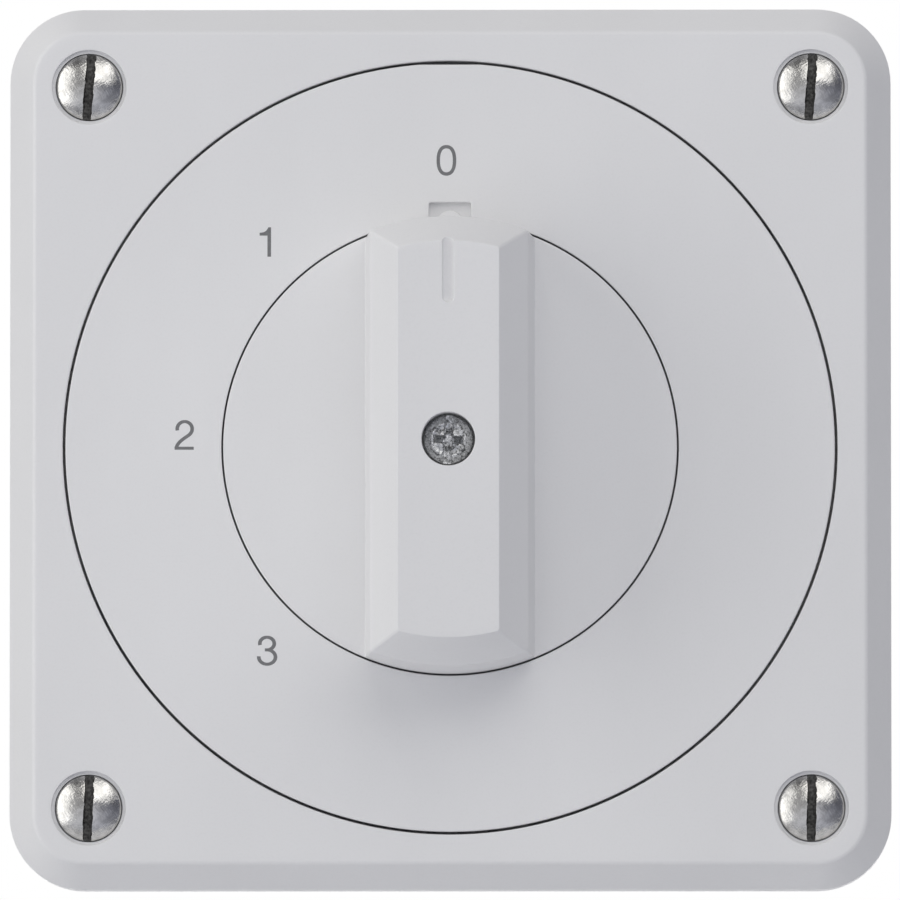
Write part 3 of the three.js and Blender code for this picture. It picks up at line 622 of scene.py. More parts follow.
def cover_plate():
    skin = Skin()
    rim = [
        Vector((PLATE_WALL, PLATE_INSIDE_Z)),
        Vector((PLATE_WALL, SKIRT_Z)),
        Vector((0, SKIRT_Z)),
        Vector((0, FACE_Z - RIM_BEVEL["drop"])),
        Vector((RIM_BEVEL["width"], FACE_Z)),
        Vector((RIM_BEVEL["width"] + 1, FACE_Z)),
    ]
    profile = round_off(rim, [0, 0.2, 0.3, 0.35, 0.65, 0], closed=False)
    ceiling, face = skin.wall(rounded_square(PLATE_HALF, PLATE_CORNER), profile)
    under_opening, opening = skin.hole(circle(DISC_OPENING), PLATE_INSIDE_Z, FACE_Z, lip=0.15)
    boss_feet = []
    pocket_lips = []
    pocket_wall = upright(POCKET["ledge_z"], FACE_Z, lip=0.1, border=BORDER)
    for corner in SCREW_CORNERS:
        foot, mouth = skin.turned([
            (SCREW_BOSS["radius"], PLATE_INSIDE_Z),
            (SCREW_BOSS["radius"], SCREW_BOSS["foot_z"]),
            (SCREW_BOSS["hole"], SCREW_BOSS["foot_z"]),
            (SCREW_BOSS["hole"], POCKET["floor_z"]),
            (POCKET["inner"], POCKET["floor_z"]),
            (POCKET["inner"], POCKET["ledge_z"]),
            *[(POCKET["radius"] + flare, z) for flare, z in pocket_wall],
        ], centre_of(f"cover_screw_{corner}"))
        boss_feet.append(foot)
        pocket_lips.append(mouth)
    skin.flat(face, opening, *pocket_lips)
    skin.flat(ceiling, under_opening, *boss_feet)
    return stand_in(skin.finished("cover_plate_skin"), "cover_plate")


def dial_opening():
    """The round opening for the dial with the index notch above it."""
    half, top = NOTCH["half"], NOTCH["top"]
    shoulder = math.degrees(math.acos(half / DIAL_WELL))
    sweep = arc((0, 0), DIAL_WELL, 180 - shoulder, 360 + shoulder, ROUND)
    corners = [Vector((half, top)), Vector((-half, top))]
    radii = [0.22, 0.22, 0.3] + [0] * (len(sweep) - 2) + [0.3]
    return round_off(corners + sweep, radii)


def notch_nub(skin):
    """The half-round nub on the floor of the notch, which stops short of the dial."""
    reach = NUB["radius"]
    centre_y = NUB["y"]
    front = [p for p in arc((0, centre_y), reach, 0, 180, 40) if p.length > DIAL_WELL]
    edge = math.degrees(math.atan2(front[0].y, front[0].x))
    back = arc((0, 0), DIAL_WELL + 0.02, 180 - edge, edge, 12)[1:-1]
    low = NOTCH["floor_z"] - 0.2
    skin.prism(front + back, low, NOTCH["floor_z"] + NUB["height"], lip=0.16)


def centre_disc():
    skin = Skin()
    opening = dial_opening()

    def ring(radius, z):
        return skin.loop([point.normalized() * radius for point in opening], z)

    notch_wall = upright(NOTCH["floor_z"], FACE_Z, lip=0.12)
    rim = upright(FLANGE_Z[1], FACE_Z, lip=0.15, border=BORDER)
    well_low, well_high = WELL["z"]
    loops = [skin.loop(inset(opening, -flare), z) for flare, z in notch_wall]
    loops.append(ring(NOTCH["top"] + 1, FACE_Z))
    loops += [ring(DISC_RADIUS - flare, z) for flare, z in reversed(rim)]
    loops += [
        ring(radius, z) for radius, z in (
            (DISC_FLANGE, FLANGE_Z[1]),
            (DISC_FLANGE, FLANGE_Z[0]),
            (FLANGE_INNER, FLANGE_Z[0]),
            (FLANGE_INNER, DISC_WEB_Z),
            (WELL["outer"], DISC_WEB_Z),
            (WELL["outer"], well_low),
            (HUB_OPENING, well_low),
            (HUB_OPENING, well_high),
            (DIAL_WELL, well_high),
            (DIAL_WELL, NOTCH["floor_z"]),
        )
    ]
    skin.chain(loops + loops[:1])
    notch_nub(skin)
    for right, up in ((1, 1), (-1, 1), (-1, -1), (1, -1)):
        at = (right * POST["at"], up * POST["at"])
        skin.prism(circle(POST["radius"], at, FINE), POST["foot_z"], DISC_WEB_Z + 0.2, foot=0.2)
        if right == up:
            skin.prism(circle(POST["pin"], at, FINE), POST["pin_z"], DISC_WEB_Z, foot=0.3)
    return stand_in(skin.finished("centre_disc_skin"), "centre_disc")


# ---------------------------------------------------------------- position numbers

def stroke(skin, line, low, high, thin=0.30, thick=0.37):
    """A pen line: upright runs are a little thicker than level ones."""
    left, right = [], []
    for i, point in enumerate(line):
        along = (line[min(i + 1, len(line) - 1)] - line[max(i - 1, 0)]).normalized()
        across = Vector((-along.y, along.x))
        half = (thin + (thick - thin) * abs(across.x)) / 2
        left.append(point + across * half)
        right.append(point - across * half)
    skin.prism(right + left[::-1], low, high)


def oval_arc(centre, across, upright_radius, start, end, steps=40):
    unit = arc((0, 0), 1, start, end, steps)
    return [Vector((centre[0] + across * p.x, centre[1] + upright_radius * p.y)) for p in unit]


def curve(start, first, second, end, steps=30):
    """A cubic curve between two points, drawn towards the two points between them."""
    points = [Vector(p) for p in (start, first, second, end)]
    weights = (1, 3, 3, 1)
    line = []
    for step in range(steps + 1):
        t = step / steps
        line.append(sum(
            (p * w * (1 - t) ** (3 - k) * t ** k for k, (p, w) in enumerate(zip(points, weights))),
            Vector((0, 0)),
        ))
    return line


def figure_0(skin, low, high):
    narrow, tall = 0.81, 1.36
    power = 2 / 2.35
    turn = []
    for point in circle(1, steps=96):
        x = math.copysign(abs(point.x) ** power, point.x)
        y = math.copysign(abs(point.y) ** power, point.y)
        turn.append(Vector((narrow * x, tall * y)))
    half = 0.17
    outer = skin.wall(inset(turn, -half), [(0, low), (0, high)])
    inner = skin.wall(inset(turn, half), [(0, low), (0, high)])
    for outside, inside in zip(outer, inner):
        skin.bridge(outside, inside)


def figure_1(skin, low, high):
    flag = curve((-0.57, 0.93), (-0.20, 0.93), (0.10, 1.00), (0.29, 1.47), steps=12)
    rest = [(0.57, 1.47), (0.57, -1.47), (0.21, -1.47), (0.21, 0.64), (-0.57, 0.64)]
    outline = flag + [Vector(point) for point in rest]
    skin.prism(outline[::-1], low, high)


def figure_2(skin, low, high):
    bowl = oval_arc((0.05, 0.595), 0.745, 0.73, 192, -35)
    sweep = curve(bowl[-1], (0.45, -0.17), (-0.65, -0.55), (-0.79, -1.33))
    stroke(skin, bowl + sweep[1:], low, high, thin=0.30, thick=0.36)
    skin.prism(rectangle((-0.955, 0.955), (-1.485, -1.185)), low, high + 0.001)


def figure_3(skin, low, high):
    upper = oval_arc((-0.01, 0.71), 0.72, 0.63, 194, -90)
    stroke(skin, upper + [Vector((-0.23, 0.08))], low, high)
    stroke(skin, oval_arc((0, -0.635), 0.83, 0.715, 90, -186), low, high + 0.001)


# Each number's middle, measured from the dial's axis.
FIGURES = {
    "figure_0": (figure_0, (-0.36, 28.65)),
    "figure_1": (figure_1, (-18.42, 20.5)),
    "figure_2": (figure_2, (-26.5, 1.24)),
    "figure_3": (figure_3, (-18.22, -20.3)),
}


def position_numbers():
    ink = dial_print()
    for name, (draw, at) in FIGURES.items():
        skin = Skin()
        draw(skin, FACE_Z - 0.01, FACE_Z + 0.008)
        printed = skin.finished(name)
        printed.location = world(*at, 0)
        printed.data.materials.append(ink)
        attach(printed, BODY_OF["centre_disc"])


# ---------------------------------------------------------------- knob

def grip():
    """The bar of the knob, which widens a little where it meets the dial."""
    def level(size, z):
        return Vector((size["half"], size["end"], z))

    skin = Skin()
    levels = [
        level(GRIP_FOOT, FACE_Z - 0.4),
        level(GRIP_FOOT, FACE_Z - 0.02),
        level(GRIP_BASE, FACE_Z),
        level(GRIP_SHOULDER, SHOULDER_Z),
        level(GRIP_TOP, GRIP_TOP_Z),
        level(GRIP_CROWN, GRIP_TOP_Z),
    ]
    rounded = round_off(levels, [0, 0, 0.2, 0.3, 0.3, 0], closed=False)
    loops = [skin.loop(bar(width, end, 0.35), z) for width, end, z in rounded]
    for end in skin.chain(loops):
        skin.flat(end)
    return skin.finished("grip")


def dial():
    skin = Skin()
    rim = [(DIAL_RADIUS - inward, z) for inward, z in upright(DIAL_UNDER_Z, FACE_Z, 0.2, 0.15)]
    hub = [(HUB_RADIUS - inward, z) for inward, z in upright(HUB_END_Z, DIAL_UNDER_Z, foot=0.3)]
    skin.turned([(0, HUB_END_Z), *hub, *rim, (0, FACE_Z)], steps=ROUND)
    return skin.finished("dial")


def groove():
    """The cutter of the index groove: a half-round channel with flared lips."""
    radius, above = GROOVE["radius"], GROOVE["axis_above_top"]
    axis_z = GRIP_TOP_Z + above
    half = math.sqrt(radius ** 2 - above ** 2)
    section = [
        Vector((radius * math.sin(a), axis_z - radius * math.cos(a)))
        for a in (math.radians(step) for step in range(12, 73, 12))
    ]
    section += [Vector((half, GRIP_TOP_Z)), Vector((half + 0.5, GRIP_TOP_Z + 0.01))]
    section.append(Vector((half + 0.5, GRIP_TOP_Z + 1)))
    radii = [0] * 6 + [GROOVE["lip"], 0, 0]
    skin = Skin()
    loops = []
    for reach, z in round_off(section, radii, closed=False):
        end = arc((0, GROOVE["inner_y"]), reach, 180, 360, 16)
        outer_y = GROOVE["outer_y"]
        loops.append(skin.loop(end + [Vector((reach, outer_y)), Vector((-reach, outer_y))], z))
    for end in skin.chain(loops):
        skin.flat(end)
    return skin.finished("groove")


def screw_well():
    """The cutter of the round well for the knob's screw."""
    seat_z = SCREW_WELL["seat_z"]
    wall = upright(seat_z, GRIP_TOP_Z, lip=0.1)
    profile = [(SCREW_WELL["radius"] + flare, z) for flare, z in wall]
    profile.append((profile[-1][0], GRIP_TOP_Z + 1))
    skin = Skin()
    skin.turned([(0, seat_z), *profile, (0, GRIP_TOP_Z + 1)])
    return skin.finished("screw_well")


def knob():
    body = combine(dial(), grip(), "UNION")
    combine(body, screw_well(), "DIFFERENCE")
    combine(body, groove(), "DIFFERENCE")
    cut_round(body, SCREW_BOSS["hole"], SOCKET["roof_z"] - 1, SCREW_WELL["seat_z"] + 1)
    half = SOCKET["half"]
    cut_bar(body, rectangle((-half, half), (-half, half), 0.2), HUB_END_Z - 1, SOCKET["roof_z"])
    body.name = "knob_skin"
    return stand_in(body, "knob")


# ---------------------------------------------------------------- screws

def smooth_step(value, low, high):
    t = min(max((value - low) / (high - low), 0), 1)
    return t * t * (3 - 2 * t)


def spaced(limit, steps, *focus):
    """Numbers from -limit to limit, closer together at the ends and round each focus."""
    numbers = {round(-limit * math.cos(math.pi * i / steps), 5) for i in range(steps + 1)}
    for middle, reach, count in focus:
        for side in (-1, 1):
            for i in range(-count, count + 1):
                value = side * middle + reach * i / count
                if abs(value) < limit:
                    numbers.add(round(value, 5))
    return sorted(numbers)


def screw_head(skin, radius, seat, top, crown, recess, focus, steps=44, dish=0.0):
    """A domed head, dished in the middle. recess(x, y, z) is its height once the recess is cut."""
    ball = (radius ** 2 + crown ** 2) / (2 * crown)

    def surface(x, y):
        r = min(math.hypot(x, y), radius)
        dome = top - ball + math.sqrt(ball ** 2 - r ** 2)
        edge = 0.12 * smooth_step(r, radius - 0.12, radius) ** 2
        hollow = dish * (1 - smooth_step(r, radius * 0.52, radius * 0.72))
        return recess(x, y, dome - edge - hollow)

    columns = []
    for x in spaced(radius, steps, *focus):
        half = math.sqrt(max(radius ** 2 - x ** 2, 0))
        if half < 1e-3:
            columns.append([skin.mesh.verts.new((x, 0, surface(x, 0)))] * (steps + 1))
            continue
        rows = [-half * math.cos(math.pi * i / steps) for i in range(steps + 1)]
        columns.append([skin.mesh.verts.new((x, y, surface(x, y))) for y in rows])
    for left, right in zip(columns, columns[1:]):
        for i in range(steps):
            corners = [left[i], right[i], right[i + 1], left[i + 1]]
            skin.mesh.faces.new(list(dict.fromkeys(corners)))
    lower = [column[0] for column in columns]
    upper = [column[-1] for column in columns[1:-1]]
    rim = lower + upper[::-1]
    foot = [skin.mesh.verts.new((vertex.co.x, vertex.co.y, seat)) for vertex in rim]
    skin.bridge(foot, rim)
    skin.flat(foot)


def threaded_shank(skin, radius, tip, seat, pitch):
    """A pointed shank whose thread is a row of rings."""
    profile = [(0, tip), (radius * 0.55, tip)]
    z = tip + radius * 0.6
    while z + pitch < seat - 0.2:
        profile += [(radius * 0.84, z), (radius, z + pitch * 0.45), (radius, z + pitch * 0.55)]
        z += pitch
    profile += [(radius * 0.84, z), (radius * 0.84, seat + 0.1), (0, seat + 0.1)]
    skin.turned(profile, steps=32)


def slot_recess(half, floor_z, wear=0.0):
    """A straight slot along y down to a level floor; wear makes its edges uneven."""
    def recess(x, y, z):
        uneven = wear * noise.noise(Vector((x * 1.7, y * 3.1, 3.1)))
        inside = smooth_step(half + 0.04 - abs(x + uneven), 0, 0.06)
        burr = 0.5 * wear * math.exp(-((abs(x + uneven) - half - 0.08) / 0.05) ** 2)
        floor = floor_z + 0.4 * wear * noise.noise(Vector((x * 6, y * 3, 7.7)))
        return min(z, z + inside * (floor - z) + burr * (1 - inside))
    return recess


def cross_recess(slot_half, slot_floor_z, arm_half, arm_reach, arm_depth, wear=0.0):
    """A slot with a cross recess over it, as on a screw that takes both kinds of driver."""
    slot = slot_recess(slot_half, slot_floor_z, wear)

    def recess(x, y, z):
        depth = 0
        for along, across in ((x, y), (y, x)):
            inside = smooth_step(arm_half + 0.05 - abs(across), 0, 0.1)
            ramp = smooth_step(arm_reach - abs(along), 0, arm_reach * 0.7)
            depth = max(depth, inside * ramp * arm_depth)
        core = smooth_step(1.9 * arm_half - math.hypot(x, y), 0, 0.2)
        return min(slot(x, y, z), z - max(depth, core * arm_depth))
    return recess


# How far each cover screw's slot leans from upright.
SLOT_LEAN = {"top_left": -4.5, "top_right": -3.7, "bottom_left": -2.3, "bottom_right": -0.8}


def cover_screws():
    for corner, lean in SLOT_LEAN.items():
        node = f"cover_screw_{corner}"
        _, _, (tip, top) = spans(node)
        skin = Skin()
        seat = POCKET["floor_z"] + 0.3
        half = COVER_HEAD["slot_half"]
        recess = slot_recess(half, cover_head_rim() - 0.45, wear=0.14)
        focus = [(half, 0.16, 6)]
        screw_head(skin, COVER_HEAD["radius"], seat, top, COVER_HEAD["crown"], recess, focus)
        threaded_shank(skin, LARGE_THREAD, tip, seat, 0.6)
        stand_in(skin.finished(f"{node}_skin"), node, centre_of(node), lean)


def knob_screw():
    node = "knob_screw"
    _, _, (tip, top) = spans(node)
    skin = Skin()
    seat = SCREW_WELL["seat_z"] + 0.3
    slot_half, arm_half = 0.44, 0.34
    recess = cross_recess(slot_half, top - 0.95, arm_half, 1.6, 1.4, wear=0.2)
    focus = [(slot_half, 0.14, 5), (0.0, arm_half, 6)]
    radius, crown, dish = KNOB_HEAD["radius"], KNOB_HEAD["crown"], KNOB_HEAD["dish"]
    screw_head(skin, radius, seat, top, crown, recess, focus, steps=72, dish=dish)
    threaded_shank(skin, LARGE_THREAD, tip, seat, 0.6)
    stand_in(skin.finished(f"{node}_skin"), node, degrees=-3, look=worn_zinc())


def rear_screw(node, seat, degrees):
    """A small screw that is driven from the rear; it is drawn forwards and turned round."""
    _, _, (rear, front) = spans(node)
    skin = Skin()
    slot_half = 0.36
    recess = cross_recess(slot_half, -rear - 0.75, 0.32, 1.3, 1.1)
    focus = [(slot_half, 0.12, 4), (0.0, 0.34, 5)]
    head_radius, crown = 2.25, 0.4
    screw_head(skin, head_radius, -seat, -rear, crown, recess, focus, steps=40)
    threaded_shank(skin, SMALL_THREAD, -front, -seat, 0.5)
    stand_in(skin.finished(f"{node}_skin"), node, centre_of(node), degrees, from_rear=True)


def mounting_screws():
    for side, degrees in (("left", 35), ("right", -60)):
        node = f"mounting_screw_{side}"
        _, _, (tip, top) = spans(node)
        skin = Skin()
        seat = HOUSING_FRONT_Z + 0.3
        slot_half, head_radius, crown = 0.4, 2.7, 0.6
        recess = slot_recess(slot_half, top - 0.8)
        focus = [(slot_half, 0.12, 4)]
        screw_head(skin, head_radius, seat, top, crown, recess, focus, steps=32)
        threaded_shank(skin, SMALL_THREAD, tip, seat, 0.5)
        stand_in(skin.finished(f"{node}_skin"), node, centre_of(node), degrees)


def housing_screws():
    for side, degrees in (("top", 20), ("bottom", -50)):
        rear_screw(f"housing_screw_{side}", HOUSING_SCREW["seat_z"] - 0.3, degrees)


# ---------------------------------------------------------------- seal and mounting plate

def wall_gasket():
    (_, outer), _, (low, high) = spans("wall_gasket")
    soft = 0.25
    skin = Skin()
    under, over = skin.wall(rounded_square(outer, PLATE_CORNER), upright(low, high, soft, soft))
    inner = rounded_square(outer - 2.1, PLATE_CORNER - PLATE_WALL)
    inner_under, inner_over = skin.hole(inner, low, high, soft, soft)
    skin.flat(under, inner_under)
    skin.flat(over, inner_over)
    stand_in(skin.finished("wall_gasket_skin"), "wall_gasket")


def oblong(centre, half_width, half_travel):
    """The outline of a slot that is long from left to right."""
    x, y = centre
    right = arc((x + half_travel, y), half_width, -90, 90, 24)
    return right + arc((x - half_travel, y), half_width, 90, 270, 24)


def mounting_plate():
    (_, half), _, (low, collar_z) = spans("mounting_plate")
    top = FRAME_THICKNESS
    skin = Skin()
    under, over = skin.wall(rounded_square(half, 5), upright(low, top, 0.15, 0.15, BORDER))
    openings = [chamfered_square(HOUSING["half"] + 0.5, HOUSING["chamfer"], 0.5)]
    openings += [circle(POST["hole"], (s * POST["at"], s * POST["at"]), FINE) for s in (-1, 1)]
    for side in ("left", "right"):
        openings.append(circle(SMALL_HOLE, centre_of(f"mounting_screw_{side}"), FINE))
    for up in (-1, 1):
        centre = (0, up * BOX_SLOT["at"])
        openings.append(oblong(centre, BOX_SLOT["half"], BOX_SLOT["travel"]))
    walls = [skin.hole(outline, low, top, 0.12, 0.12) for outline in openings]
    collar = upright(top, collar_z, lip=0.25)
    for corner in SCREW_CORNERS:
        bore = upright(low, collar_z, foot=0.3, lip=0.15)
        profile = [(COLLAR_RADIUS + 0.4, top), (COLLAR_RADIUS + 0.12, top + 0.1)]
        profile += [(COLLAR_RADIUS - inward, z) for inward, z in collar[1:]]
        profile += [(SCREW_BOSS["hole"] + flare, z) for flare, z in reversed(bore)]
        foot, end = skin.turned(profile, centre_of(f"cover_screw_{corner}"))
        walls.append((end, foot))
    skin.flat(under, *[wall[0] for wall in walls])
    skin.flat(over, *[wall[1] for wall in walls])
    stand_in(skin.finished("mounting_plate_skin"), "mounting_plate")


# ---------------------------------------------------------------- switch housing

def housing_front():
    node = "housing_front"
    (_, ear_reach), _, (split_z, front_z) = spans(node)
    half, chamfer, wall_z = HOUSING["half"], HOUSING["chamfer"], FRAME_THICKNESS + 0.3
    skin = Skin()
    skin.prism(chamfered_square(half, chamfer, HOUSING["corner"]), split_z, front_z, lip=0.3)
    body = skin.finished("housing_front_skin")
    ears = Skin()
    ear_half = HOUSING["ear_half"]
    ear_plan = rectangle((-ear_reach, ear_reach), (-ear_half, ear_half), 1.2)
    ears.prism(ear_plan, wall_z, front_z - 0.01)
    combine(body, ears.finished("ears"), "UNION")
    inner = HOUSING["half"] - HOUSING["wall"]
    cut_bar(body, chamfered_square(inner, chamfer - 1, 0.4), split_z - 1, wall_z)
    cut_round(body, HOUSING["bush"], 0, front_z + 1)
    for side in (-1, 1):
        boss = Skin()
        at_y = side * HOUSING_SCREW["at"]
        boss.prism(circle(HOUSING_SCREW["boss"], (0, at_y), FINE), split_z, wall_z + 0.3)
        combine(body, boss.finished("boss"), "UNION")
        cut_round(body, SMALL_HOLE, split_z - 1, -2, (0, at_y))
    for side in ("left", "right"):
        cut_round(body, SMALL_HOLE, 0, front_z + 1, centre_of(f"mounting_screw_{side}"))
    soften(body, 0.12)
    stand_in(body, node)


TERMINALS = ("stage_1", "stage_2", "stage_3", "supply")
MIDDLE_POCKET = {"near_x": 10.2, "half": 4.3}
CORNER_POCKET = {"near_x": 5.8, "low_y": 6.2, "high_y": 16.3}
CONTACT_HOLE_END_Z = -17


def terminal_pocket(name):
    """The room round a terminal, open at the rear and at the side of the housing."""
    x, y = centre_of(f"clamp_plate_{name}")
    side = math.copysign(1, x)
    outside = side * (HOUSING["half"] + 1)
    if abs(y) < 1:
        near = side * MIDDLE_POCKET["near_x"]
        level = (-MIDDLE_POCKET["half"], MIDDLE_POCKET["half"])
    else:
        near = side * CORNER_POCKET["near_x"]
        level = sorted(math.copysign(CORNER_POCKET[end], y) for end in ("low_y", "high_y"))
    return rectangle(sorted((near, outside)), level, 0.35)


def housing_base():
    node = "housing_base"
    _, _, (rear_z, top_z) = spans(node)
    skin = Skin()
    outline = chamfered_square(HOUSING["half"], HOUSING["chamfer"], HOUSING["corner"])
    skin.prism(outline, rear_z, top_z, foot=0.5, lip=0.15)
    body = skin.finished("housing_base_skin")
    cut_round(body, CAVITY["radius"], CAVITY["floor_z"], top_z + 1)
    cut_round(body, JOURNAL["bore"], rear_z - 1, top_z + 1)
    cut_round(body, REAR_RECESS["radius"], rear_z - 1, REAR_RECESS["roof_z"])
    for side in (-1, 1):
        at = (0, side * HOUSING_SCREW["at"])
        cut_round(body, SMALL_HOLE, rear_z - 1, top_z + 1, at)
        cut_round(body, HOUSING_SCREW["pocket"], rear_z - 1, HOUSING_SCREW["seat_z"], at)
    for name in TERMINALS:
        cut_bar(body, terminal_pocket(name), rear_z - 1, POCKET_ROOF_Z)
        at = centre_of(f"clamp_plate_{name}")
        cut_round(body, SMALL_HOLE, POCKET_ROOF_Z - 1, CONTACT_HOLE_END_Z, at)
    soften(body, 0.15)
    stand_in(body, node)


def clamps():
    """Each terminal's square washer and its screw."""
    for name in TERMINALS:
        node = f"clamp_plate_{name}"
        (left, right), _, (low, high) = spans(node)
        skin = Skin()
        outline = chamfered_square((right - left) / 2, 1, 0.25)
        under, over = skin.wall(outline, upright(low, high, 0.12, 0.12))
        hole_under, hole_over = skin.hole(circle(SMALL_HOLE, steps=FINE), low, high, 0.1, 0.1)
        skin.flat(under, hole_under)
        skin.flat(over, hole_over)
        stand_in(skin.finished(f"{node}_skin"), node, centre_of(node))
        rear_screw(f"terminal_screw_{name}", low - 0.3, 15)


# ---------------------------------------------------------------- spindle

def spindle():
    node = "spindle"
    (_, half), _, (rear_z, front_z) = spans(node)
    radius, groove, shoulder_z = JOURNAL["radius"], JOURNAL["groove"], JOURNAL["front_z"]
    groove_low, groove_high = JOURNAL["groove_z"]
    skin = Skin()
    skin.prism(rectangle((-half, half), (-half, half), 0.25), shoulder_z, front_z, foot=0.2, lip=0.3)
    body = skin.finished("spindle_skin")
    journal = Skin()
    journal.turned([
        (0, rear_z + 0.5),
        (0.9, rear_z),
        (radius - 0.4, rear_z),
        (radius, rear_z + 0.4),
        (radius, groove_low),
        (groove, groove_low + 0.05),
        (groove, groove_high - 0.05),
        (radius, groove_high),
        (radius, shoulder_z + 0.3),
        (0, shoulder_z + 0.3),
    ])
    combine(body, journal.finished("journal"), "UNION")
    cut_round(body, SCREW_BOSS["hole"], 6.5, front_z + 1)
    stand_in(body, node)


def thrust_washer():
    node = "thrust_washer"
    (_, outer), _, (low, high) = spans(node)
    skin = Skin()
    skin.ring(JOURNAL["bore"], outer, low, high)
    stand_in(skin.finished(f"{node}_skin"), node)


def circlip():
    """An E-shaped clip that grips the spindle's groove with three lobes."""
    node = "spindle_circlip"
    (_, outer), _, (low, high) = spans(node)
    lobe, relief, open_half = 2.3, 3.1, 1.2
    gap = math.degrees(math.asin(open_half / outer))
    inner_gap = math.degrees(math.asin(open_half / lobe))
    outline = arc((0, 0), outer, 90 + gap, 450 - gap, 96)
    outline += arc((0, 0), lobe, 90 - inner_gap, 35, 6)
    outline += arc((0, 0), relief, 22, -62, 24)
    outline += arc((0, 0), lobe, -72, -108, 12)
    outline += arc((0, 0), relief, -118, -202, 24)
    outline += arc((0, 0), lobe, -215, -270 + inner_gap, 6)
    skin = Skin()
    skin.prism(outline, low, high)
    made = skin.finished(f"{node}_skin")
    soften(made, 0.06)
    stand_in(made, node)


# ---------------------------------------------------------------- CAD nodes that keep their shape

def finish_cad_nodes():
    for name, node in frame["nodes"].items():
        soften(node, 0.12)
        node.data.materials.clear()
        node.data.materials.append(LOOKS[SLOT_OF[name]])


# ---------------------------------------------------------------- studio

FLOOR_Z = -0.22


def studio_floor():
    """A pale table top that reaches a little in front of the switch."""
    side, front, back = 0.6, -0.17, 1.0
    data = bpy.data.meshes.new("floor")
    plan = [(-side, front), (side, front), (side, back), (-side, back)]
    corners = [(x, y, FLOOR_Z) for x, y in plan]
    data.from_pydata(corners, [], [(0, 1, 2, 3)])
    data.materials.append(pale_floor())
    floor = bpy.data.objects.new("floor", data)
    bpy.context.scene.collection.objects.link(floor)


def softbox(name, azimuth, elevation, size, radiance, colour):
    """A soft light a metre from the switch; azimuth is degrees to the right of the viewer's axis."""
    width, height = size
    lamp = bpy.data.lights.new(name, "AREA")
    lamp.shape = "RECTANGLE"
    lamp.size, lamp.size_y = size
    lamp.energy = radiance * math.pi * width * height
    lamp.color = colour
    turn, tilt = math.radians(azimuth), math.radians(elevation)
    place = Vector((math.sin(turn) * math.cos(tilt), -math.cos(turn) * math.cos(tilt), math.sin(tilt)))
    light = bpy.data.objects.new(name, lamp)
    light.location = place
    light.rotation_euler = (-place).to_track_quat("-Z", "Y").to_euler()
    light.visible_camera = False
    bpy.context.scene.collection.objects.link(light)


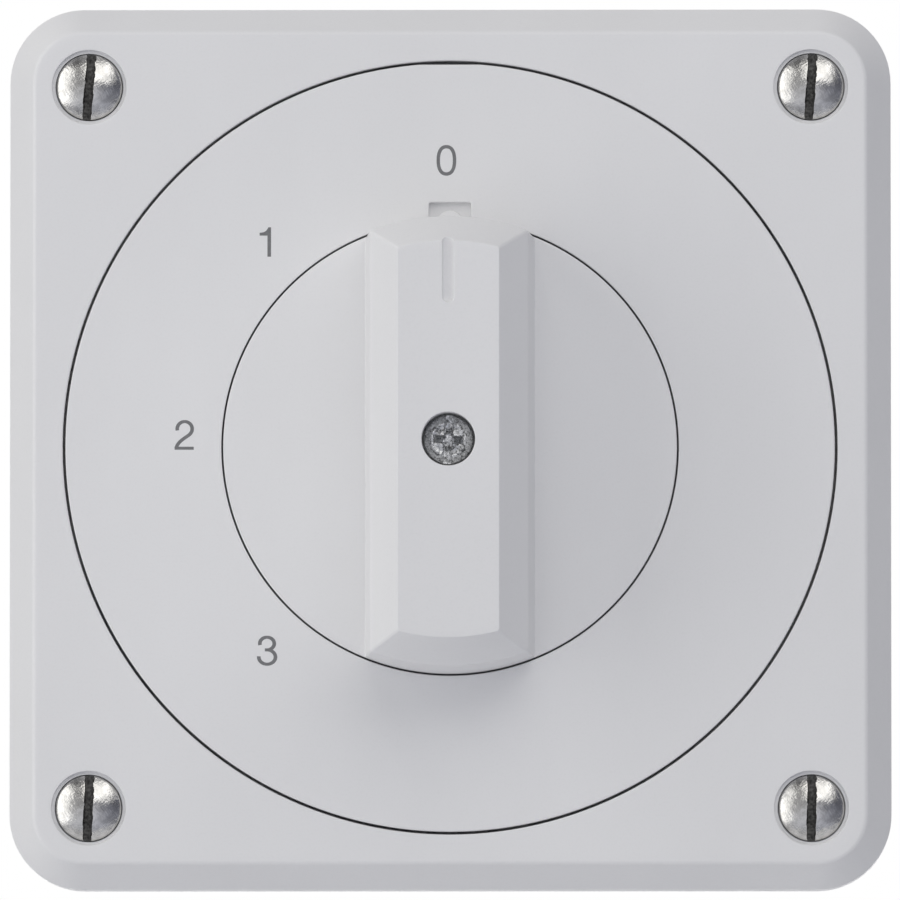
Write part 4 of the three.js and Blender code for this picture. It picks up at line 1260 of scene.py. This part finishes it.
class Surroundings:
    """The dim studio round the switch: soft patches of light that depend only on direction."""

    def __init__(self):
        made = bpy.data.worlds.new("studio")
        made.use_nodes = True
        bpy.context.scene.world = made
        self.tree = made.node_tree
        self.direction = self.tree.nodes.new("ShaderNodeTexCoord").outputs["Generated"]
        self.total = None

    def patch(self, toward, colour, faint=0.3, full=0.85):
        """Light from one side; faint and full are cosines of the angle to its middle."""
        dot = self.tree.nodes.new("ShaderNodeVectorMath")
        dot.operation = "DOT_PRODUCT"
        dot.inputs[1].default_value = Vector(toward).normalized()
        self.tree.links.new(self.direction, dot.inputs[0])
        strength = self.tree.nodes.new("ShaderNodeMapRange")
        strength.inputs["From Min"].default_value = faint
        strength.inputs["From Max"].default_value = full
        self.tree.links.new(dot.outputs["Value"], strength.inputs["Value"])
        tinted_patch = self.tree.nodes.new("ShaderNodeVectorMath")
        tinted_patch.operation = "SCALE"
        tinted_patch.inputs[0].default_value = colour
        self.tree.links.new(strength.outputs["Result"], tinted_patch.inputs["Scale"])
        self.add(tinted_patch.outputs[0])

    def add(self, source):
        if self.total:
            both = self.tree.nodes.new("ShaderNodeVectorMath")
            both.operation = "ADD"
            self.tree.links.new(self.total, both.inputs[0])
            self.tree.links.new(source, both.inputs[1])
            source = both.outputs[0]
        self.total = source

    def finished(self):
        """The patches light the switch; behind it there is a plain white backdrop."""
        shown = self.tree.nodes.new("ShaderNodeMix")
        shown.data_type = "RGBA"
        shown.inputs["B"].default_value = (1, 1, 1, 1)
        path = self.tree.nodes.new("ShaderNodeLightPath")
        self.tree.links.new(path.outputs["Is Camera Ray"], shown.inputs["Factor"])
        self.tree.links.new(self.total, shown.inputs["A"])
        self.tree.links.new(shown.outputs["Result"], self.tree.nodes["Background"].inputs["Color"])


def studio_light():
    room = Surroundings()
    room.patch((0, 0, 1), (0.012, 0.012, 0.014), faint=-2, full=-1)
    room.patch((0, 1, 0), (1.65, 1.65, 1.65), faint=0.6, full=0.9)
    room.patch((0, 0.6, 1), (0.45, 0.45, 0.47))
    room.patch((-0.28, -1, 0.05), (0.37, 0.37, 0.38), faint=0.62, full=0.95)
    room.patch((1, -0.6, 0), (0.13, 0.135, 0.165))
    room.patch((0, -0.6, -1), (0.33, 0.34, 0.38))
    room.finished()
    softbox("left_softbox", -61, 9, (0.68, 1.4), 1.10, (1.0, 0.995, 0.985))
    softbox("side_softbox", -80, 5, (0.8, 1.4), 0.77, (1.0, 1.0, 0.99))
    softbox("top_softbox", 20, 38, (1.1, 0.8), 1.39, (1.0, 0.99, 0.965))


def studio_camera():
    distance, below, aside = 1.8, 3.2, 0.65
    frame_width = 0.0897
    data = bpy.data.cameras.new("camera")
    data.sensor_width = 36
    data.lens = data.sensor_width * distance / frame_width
    data.clip_end = 20
    camera = bpy.data.objects.new("camera", data)
    bpy.context.scene.collection.objects.link(camera)
    target = world(0, -0.29, FACE_Z)
    tilt, turn = math.radians(below), math.radians(aside)
    away = Vector((math.sin(turn) * math.cos(tilt), -math.cos(turn) * math.cos(tilt), -math.sin(tilt)))
    camera.location = target + away * distance
    camera.rotation_euler = (-away).to_track_quat("-Z", "Y").to_euler()
    bpy.context.scene.camera = camera
    bpy.context.scene.view_settings.view_transform = "Standard"


# ---------------------------------------------------------------- scene

studio_camera()
studio_light()
studio_floor()
finish_cad_nodes()
cover_plate()
centre_disc()
position_numbers()
knob()
cover_screws()
knob_screw()
mounting_screws()
housing_screws()
wall_gasket()
mounting_plate()
housing_front()
housing_base()
clamps()
spindle()
thrust_washer()
circlip()
